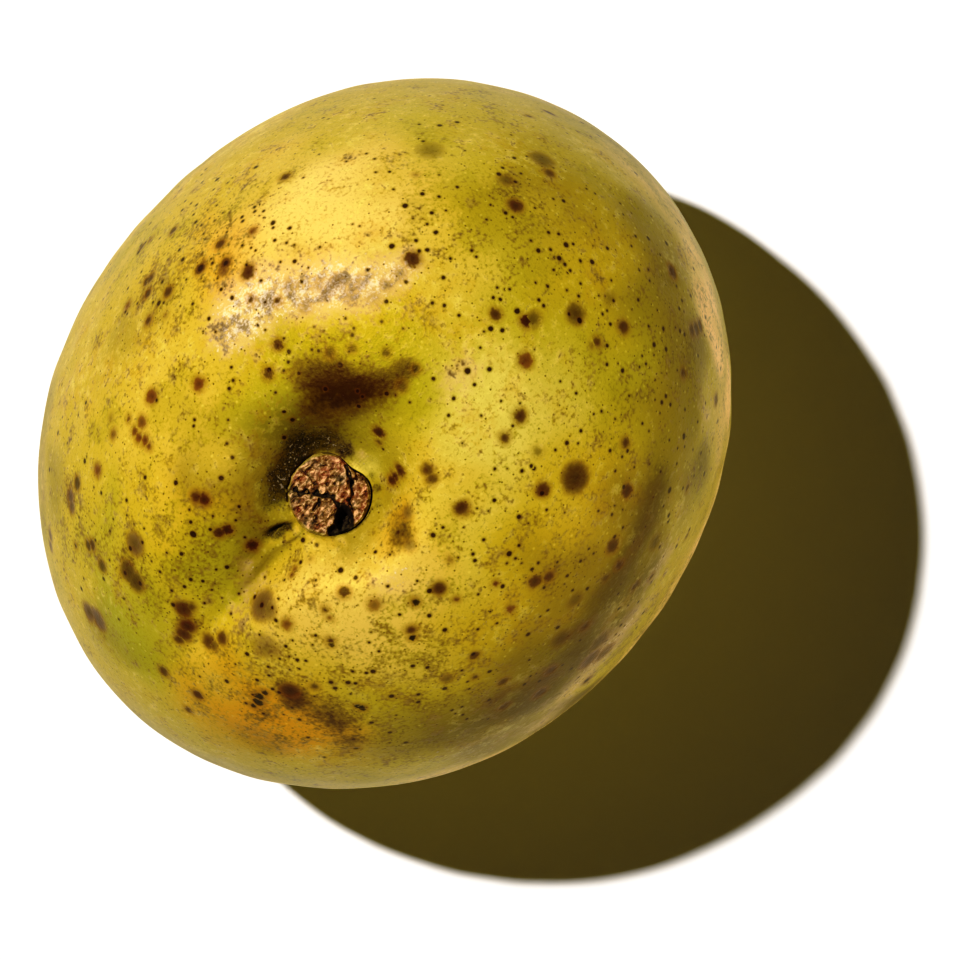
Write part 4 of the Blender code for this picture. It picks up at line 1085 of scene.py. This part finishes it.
    # Heights in millimetres: orange-peel, grit, sunken blots, and a crust over the scuffs
    height = 0.0
    for name, amount in skin["heights"]:
        inputs = {0: source.get(name, masks.get(name)), 1: amount, 2: height}
        height = addNode(tree, "ShaderNodeMath", inputs, operation="MULTIPLY_ADD").outputs[0]
    inputs = {0: masks["rough"], 1: source["fine"]}
    crust = addNode(tree, "ShaderNodeMath", inputs, operation="MULTIPLY").outputs[0]
    inputs = {0: crust, 1: skin["roughHeight"], 2: height}
    height = addNode(tree, "ShaderNodeMath", inputs, operation="MULTIPLY_ADD").outputs[0]
    bump = addNode(tree, "ShaderNodeBump", {"Height": height, "Distance": mm, "Strength": 1.0})
    inputs = {0: masks["rough"], 1: skin["russetRoughness"] - skin["roughness"], 2: skin["roughness"]}
    roughness = addNode(tree, "ShaderNodeMath", inputs, operation="MULTIPLY_ADD").outputs[0]
    inputs = {
        "Base Color": colour,
        "Roughness": roughness,
        "IOR": skin["ior"],
        "Specular IOR Level": skin["specular"],
        "Specular Tint": linearColour(skin["sheenTint"]),
        "Normal": bump.outputs[0],
    }
    shader = addNode(tree, "ShaderNodeBsdfPrincipled", inputs)
    addNode(tree, "ShaderNodeOutputMaterial", {"Surface": shader.outputs[0]})
    return material


# Dry stem wood is torn end grain: matt, red-brown, with paler torn fibres and near-black cracks. Its cracks,
# crevice and the gaps between fibres are painted dark as shade, and the fibres' crests are partly painted
# light as highlight.
stemWood = dict(
    roughness=0.72,
    ior=1.5,
    base="#80563A",
    noise=dict(patch=(1.6, 2.0), fibre=(0.5, 3.0), grain=(0.16, 2.0)),  # size in mm, detail
    fibreStretch=0.7,  # scale along the fibres
    coats=(  # what it follows, where it starts and is full, colour, strength
        ("patch", 0.46, 0.64, "#964A3A", 0.75),  # red bark fibres
        ("patch", 0.46, 0.32, "#4E4036", 0.80),  # grey weathered wood
        ("fibre", 0.49, 0.64, "#E6BC88", 0.85),  # pale torn ends, partly painted highlight on the crests of the fibres' bumps
        ("fibre", 0.44, 0.34, "#1E110A", 0.85),  # painted shade in the gaps between them
        ("edge", 0.30, 1.00, "#B09A4C", 0.70),  # skin that has grown up round the wood
        ("hollow", 0.05, 0.45, "#1E110A", 0.95),  # painted shade in the cracks and the crevice
    ),
    grainShare=0.35,
    fibreHeight=0.22,  # in mm
)


def stubWood():
    # Noises stretched along the fibres, and the relief of the mesh, lay coats over the wood's colour; the
    # relief's hollows are painted dark as shade
    material, tree = startMaterial("dry torn stem wood")
    place = addNode(tree, "ShaderNodeTexCoord").outputs["Object"]
    turn = math.radians(photo["roll"] - stub["fibreAngle"])
    inputs = {"Vector": place, "Rotation": (0, 0, turn), "Scale": (stemWood["fibreStretch"], 1.0, 1.0)}
    stretched = addNode(tree, "ShaderNodeMapping", inputs).outputs[0]
    noise = {}
    for name, (size, detail) in stemWood["noise"].items():
        inputs = {"Vector": stretched, "Scale": scaleFor(size), "Detail": detail}
        noise[name] = addNode(tree, "ShaderNodeTexNoise", inputs).outputs["Fac"]
    facts = addNode(tree, "ShaderNodeAttribute", attribute_name="relief").outputs["Vector"]
    hollow, _, edge = addNode(tree, "ShaderNodeSeparateXYZ", {"Vector": facts}).outputs
    source = dict(noise, hollow=hollow, edge=edge)
    colour = linearColour(stemWood["base"])
    for name, low, high, code, strength in stemWood["coats"]:
        inputs = {"Value": source[name], "From Min": low, "From Max": high, "To Max": strength}
        mask = addNode(tree, "ShaderNodeMapRange", inputs).outputs["Result"]
        inputs = {0: mask, 6: colour, 7: linearColour(code)}
        colour = addNode(tree, "ShaderNodeMix", inputs, data_type="RGBA").outputs[2]
    inputs = {0: noise["grain"], 1: stemWood["grainShare"], 2: noise["fibre"]}
    height = addNode(tree, "ShaderNodeMath", inputs, operation="MULTIPLY_ADD").outputs[0]
    distance = stemWood["fibreHeight"] * mm
    bump = addNode(tree, "ShaderNodeBump", {"Height": height, "Distance": distance, "Strength": 1.0})
    inputs = {
        "Base Color": colour,
        "Roughness": stemWood["roughness"],
        "IOR": stemWood["ior"],
        "Normal": bump.outputs[0],
    }
    shader = addNode(tree, "ShaderNodeBsdfPrincipled", inputs)
    addNode(tree, "ShaderNodeOutputMaterial", {"Surface": shader.outputs[0]})
    return material


def makeFruit():
    # The grid with its dimples, wrinkles, folds and sunken spots pushed along the normals, then its colours
    top, grid, bottom = fruitGrid()
    rings = fruit["socketRings"]
    normals = surfaceNormals(grid)
    length, height = fruit["dimple"]
    offset = height * waves(grid, length, 24, 5)
    length, height = fruit["ripple"]
    stemDistance = np.hypot(grid[..., 0] - fruit["stem"][0], grid[..., 1] - fruit["stem"][1])
    near = np.exp(-((stemDistance / fruit["rippleReach"]) ** 2)) * (grid[..., 2] > fruit["widestLevel"])
    offset += height * near * waves(grid, length, 24, 6)
    fromLip = (stemDistance - stub["radius"] - fruit["lipOut"]) / fruit["lipReach"]
    offset += fruit["lipRise"] * np.exp(-(fromLip**2)) * near
    offset[:rings] = 0.0
    offset[-4:] = 0.0
    grid = grid + normals * offset[..., None]
    top, grid, bottom = fitToNode("fruit", top, grid, bottom)
    places = np.concatenate([[top], grid.reshape(-1, 3), [bottom]])
    seen = toPixels(places)
    # What the camera doesn't see is moved far outside the picture, so that no mark lands on it
    farAway = 1e6
    seen[places[:, 2] < photo["widestLevel"] - 1] = farAway
    seen[: 1 + rings * fruit["segments"]] = farAway
    # Sunken spots are pressed into the mesh itself, deepest in the middle
    pixel = photo["mmPerPixel"]
    pits = [(x, y, radius * pixel, -depth) for x, y, radius, depth in marks["sunken"]]
    outward = np.concatenate([[[0, 0, 1]], normals.reshape(-1, 3), [[0, 0, -1]]])
    press = hillField(pits, places, seen) + foldField(places, seen)
    press[: 1 + rings * fruit["segments"]] = 0.0
    places = places + outward * press[:, None]
    piece = closedGrid("fruit_skin", places[0], places[1:-1].reshape(grid.shape), places[-1])
    setAttribute(piece, "groundAndLight", "FLOAT_COLOR", groundAndLightColours(places, seen))
    # The wear attribute holds scuff, stain, and the soot field, which is partly painted shade
    wearAndShade = [np.clip(hillField(marks[name], places, seen), 0.0, 1.2) for name in ("scuff", "stain", "sootAndShade")]
    setAttribute(piece, "wearAndShade", "FLOAT_VECTOR", np.stack(wearAndShade, axis=1))
    freckle = np.clip(marks["freckleBase"] + hillField(marks["freckle"], places, seen), 0.12, 1.3)
    # Pores are denser towards the dorsal side
    pale = np.clip(marks["poreBase"] + places[:, 0] / marks["poreSlope"], 0.2, 0.8)
    # Dusk is a mottled brown, mostly painted shade inside the lower right rim
    dusk = np.clip(hillField(marks["dusk"], places, seen), 0.0, 1.2)
    setAttribute(piece, "touchAndShade", "FLOAT_VECTOR", np.stack([freckle, pale, dusk], axis=1))
    markFields(piece, places, seen)
    piece.data.materials.append(fruitSkin())
    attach(piece, "root")
    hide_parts("fruit")
    return piece


def makeStub():
    # The grid, moved into the CAD node's box
    grid, facts = stubGrid()
    low, high = (np.array(corner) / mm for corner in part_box("stem_stub"))
    middle = np.array([*(low + high)[:2] / 2, high[2] - stub["topGap"]])
    grid = grid + middle
    topFace, _, _, _ = stubFace(np.zeros(1), np.zeros(1))
    top = middle + [0.0, 0.0, topFace[0]]
    bottom = np.array([middle[0], middle[1], grid[-1, :, 2].mean()])
    piece = closedGrid("stem_end", top, grid, bottom)
    flat = facts.reshape(-1, 3)
    setAttribute(piece, "relief", "FLOAT_VECTOR", np.concatenate([flat[:1], flat, flat[-1:]]))
    piece.data.materials.append(stubWood())
    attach(piece, "root")
    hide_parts("stem_stub")
    return piece


makeFruit()
print("mango: the skin is made")
makeStub()
print("mango: the stub is made")

# A pale matt sweep: level under the fruit, with a rim far away that closes the side views
stage = dict(
    levelRings=(500.0, 2500.0),
    levelRadius=5000.0,
    rimWidth=50.0,
    rimRadius=6000.0,
    rimHeight=900.0,
    depth=20.0,
    colour="#EAE9EC",
    roughness=0.9,
    segments=96,
)


def makeStage():
    # A turned profile: a level disc, a quarter of an ellipse up to the rim, and a flat back below
    azimuth = np.arange(stage["segments"]) * (2 * math.pi / stage["segments"])
    turn = np.linspace(0.0, math.pi / 2, 12)
    sweep = stage["rimRadius"] - stage["levelRadius"]
    outside = [stage["rimRadius"] + stage["rimWidth"]] * 2
    radius = np.concatenate([stage["levelRings"], stage["levelRadius"] + sweep * np.sin(turn), outside])
    bend = stage["rimHeight"] * (1.0 - np.cos(turn))
    height = np.concatenate([[0.0] * len(stage["levelRings"]), bend, [stage["rimHeight"], -stage["depth"]]])
    x, y = (radius[:, None] * side for side in (np.cos(azimuth), np.sin(azimuth)))
    grid = np.stack([x, y, np.broadcast_to(height[:, None], x.shape)], axis=-1)
    floor = closedGrid("floor", np.zeros(3), grid, np.array([0.0, 0.0, -stage["depth"]]))
    material, tree = startMaterial("pale matt paper")
    inputs = {"Base Color": linearColour(stage["colour"]), "Roughness": stage["roughness"]}
    shader = addNode(tree, "ShaderNodeBsdfPrincipled", inputs)
    addNode(tree, "ShaderNodeOutputMaterial", {"Surface": shader.outputs[0]})
    floor.data.materials.append(material)


# One hard key from the picture's upper left, high up, a low soft card on the other side, and a faint fill
light = dict(
    bearing=-31.0,  # the way the key travels over the picture, degrees anticlockwise from the right
    elevation=64.2,  # from the shadow's length
    strength=4.4,
    angle=1.4,  # of the source, which softens the shadow's edge
    colour="#FFFDF8",
    fillColour="#FFF2F4",
    fill=0.016,
    card=dict(distance=2500.0, height=200.0, size=(700.0, 220.0), power=22.0, colour="#FFF2DA"),  # watts
)


def turned(lamp, name, travel):
    # A lamp's object, which shines the way it is told
    holder = bpy.data.objects.new(name, lamp)
    holder.rotation_mode = "QUATERNION"
    holder.rotation_quaternion = Vector(travel).to_track_quat("-Z", "Y")
    bpy.context.collection.objects.link(holder)
    return holder


def makeLight():
    # The key travels along its bearing and down, and the card faces back along the same bearing
    right, up = screenAxes()
    bearing, elevation = math.radians(light["bearing"]), math.radians(light["elevation"])
    level = math.cos(bearing) * right + math.sin(bearing) * up
    key = bpy.data.lights.new("key", "SUN")
    key.energy = light["strength"]
    key.angle = math.radians(light["angle"])
    key.color = linearColour(light["colour"])[:3]
    turned(key, "key", (*(level * math.cos(elevation)), -math.sin(elevation)))
    card = light["card"]
    lamp = bpy.data.lights.new("card", "AREA")
    lamp.shape = "RECTANGLE"
    lamp.size, lamp.size_y = (length * mm for length in card["size"])
    lamp.energy = card["power"]
    lamp.color = linearColour(card["colour"])[:3]
    place = np.array([*(level * card["distance"]), card["height"]])
    aim = np.array([0.0, 0.0, photo["widestLevel"]])
    holder = turned(lamp, "card", aim - place)
    holder.location = place * mm
    holder.visible_camera = False
    world = bpy.data.worlds.new("faint fill")
    world.use_nodes = True
    back = world.node_tree.nodes["Background"]
    back.inputs["Color"].default_value = linearColour(light["fillColour"])
    back.inputs["Strength"].default_value = light["fill"]
    bpy.context.scene.world = world


def makeCamera():
    # Straight down from above the point that shows in the middle of the picture
    right, up = screenAxes()
    place = cameraPlace()
    camera = bpy.data.cameras.new("camera")
    camera.sensor_width = photo["sensorWidth"]
    halfView = photo["axisPixel"][0] * photo["mmPerPixel"]
    camera.lens = photo["sensorWidth"] / 2 * photo["cameraRise"] / halfView
    camera.clip_end = 50.0
    viewer = bpy.data.objects.new("camera", camera)
    height = photo["widestLevel"] + photo["cameraRise"]
    rows = [(right[i], up[i], 0.0, place[i] * mm) for i in range(2)]
    viewer.matrix_world = Matrix((*rows, (0.0, 0.0, 1.0, height * mm), (0.0, 0.0, 0.0, 1.0)))
    bpy.context.collection.objects.link(viewer)
    bpy.context.scene.camera = viewer


# The picture's contrast: what goes in and what comes out, 1 being white, for all colours and then for blue
blueTone = ((0.0, 0.0), (0.012, 0.011), (0.05, 0.03), (0.09, 0.065), (0.16, 0.135), (0.30, 0.28), (1.0, 1.0))
tone = ((0.0, 0.0), (0.05, 0.014), (0.12, 0.06), (0.30, 0.21), (0.55, 0.47), (0.80, 0.80), (1.0, 1.0))


def setTone():
    # A curve for all colours and one for blue, laid over the plain view
    view = bpy.context.scene.view_settings
    view.view_transform = "Standard"
    view.use_curve_mapping = True
    blue, every = view.curve_mapping.curves[2:]
    for curve, places in ((blue, blueTone), (every, tone)):
        for place in places[1:-1]:
            curve.points.new(*place)
    view.curve_mapping.update()


makeStage()
makeLight()
makeCamera()
setTone()
print("mango: stage, light and camera are set")
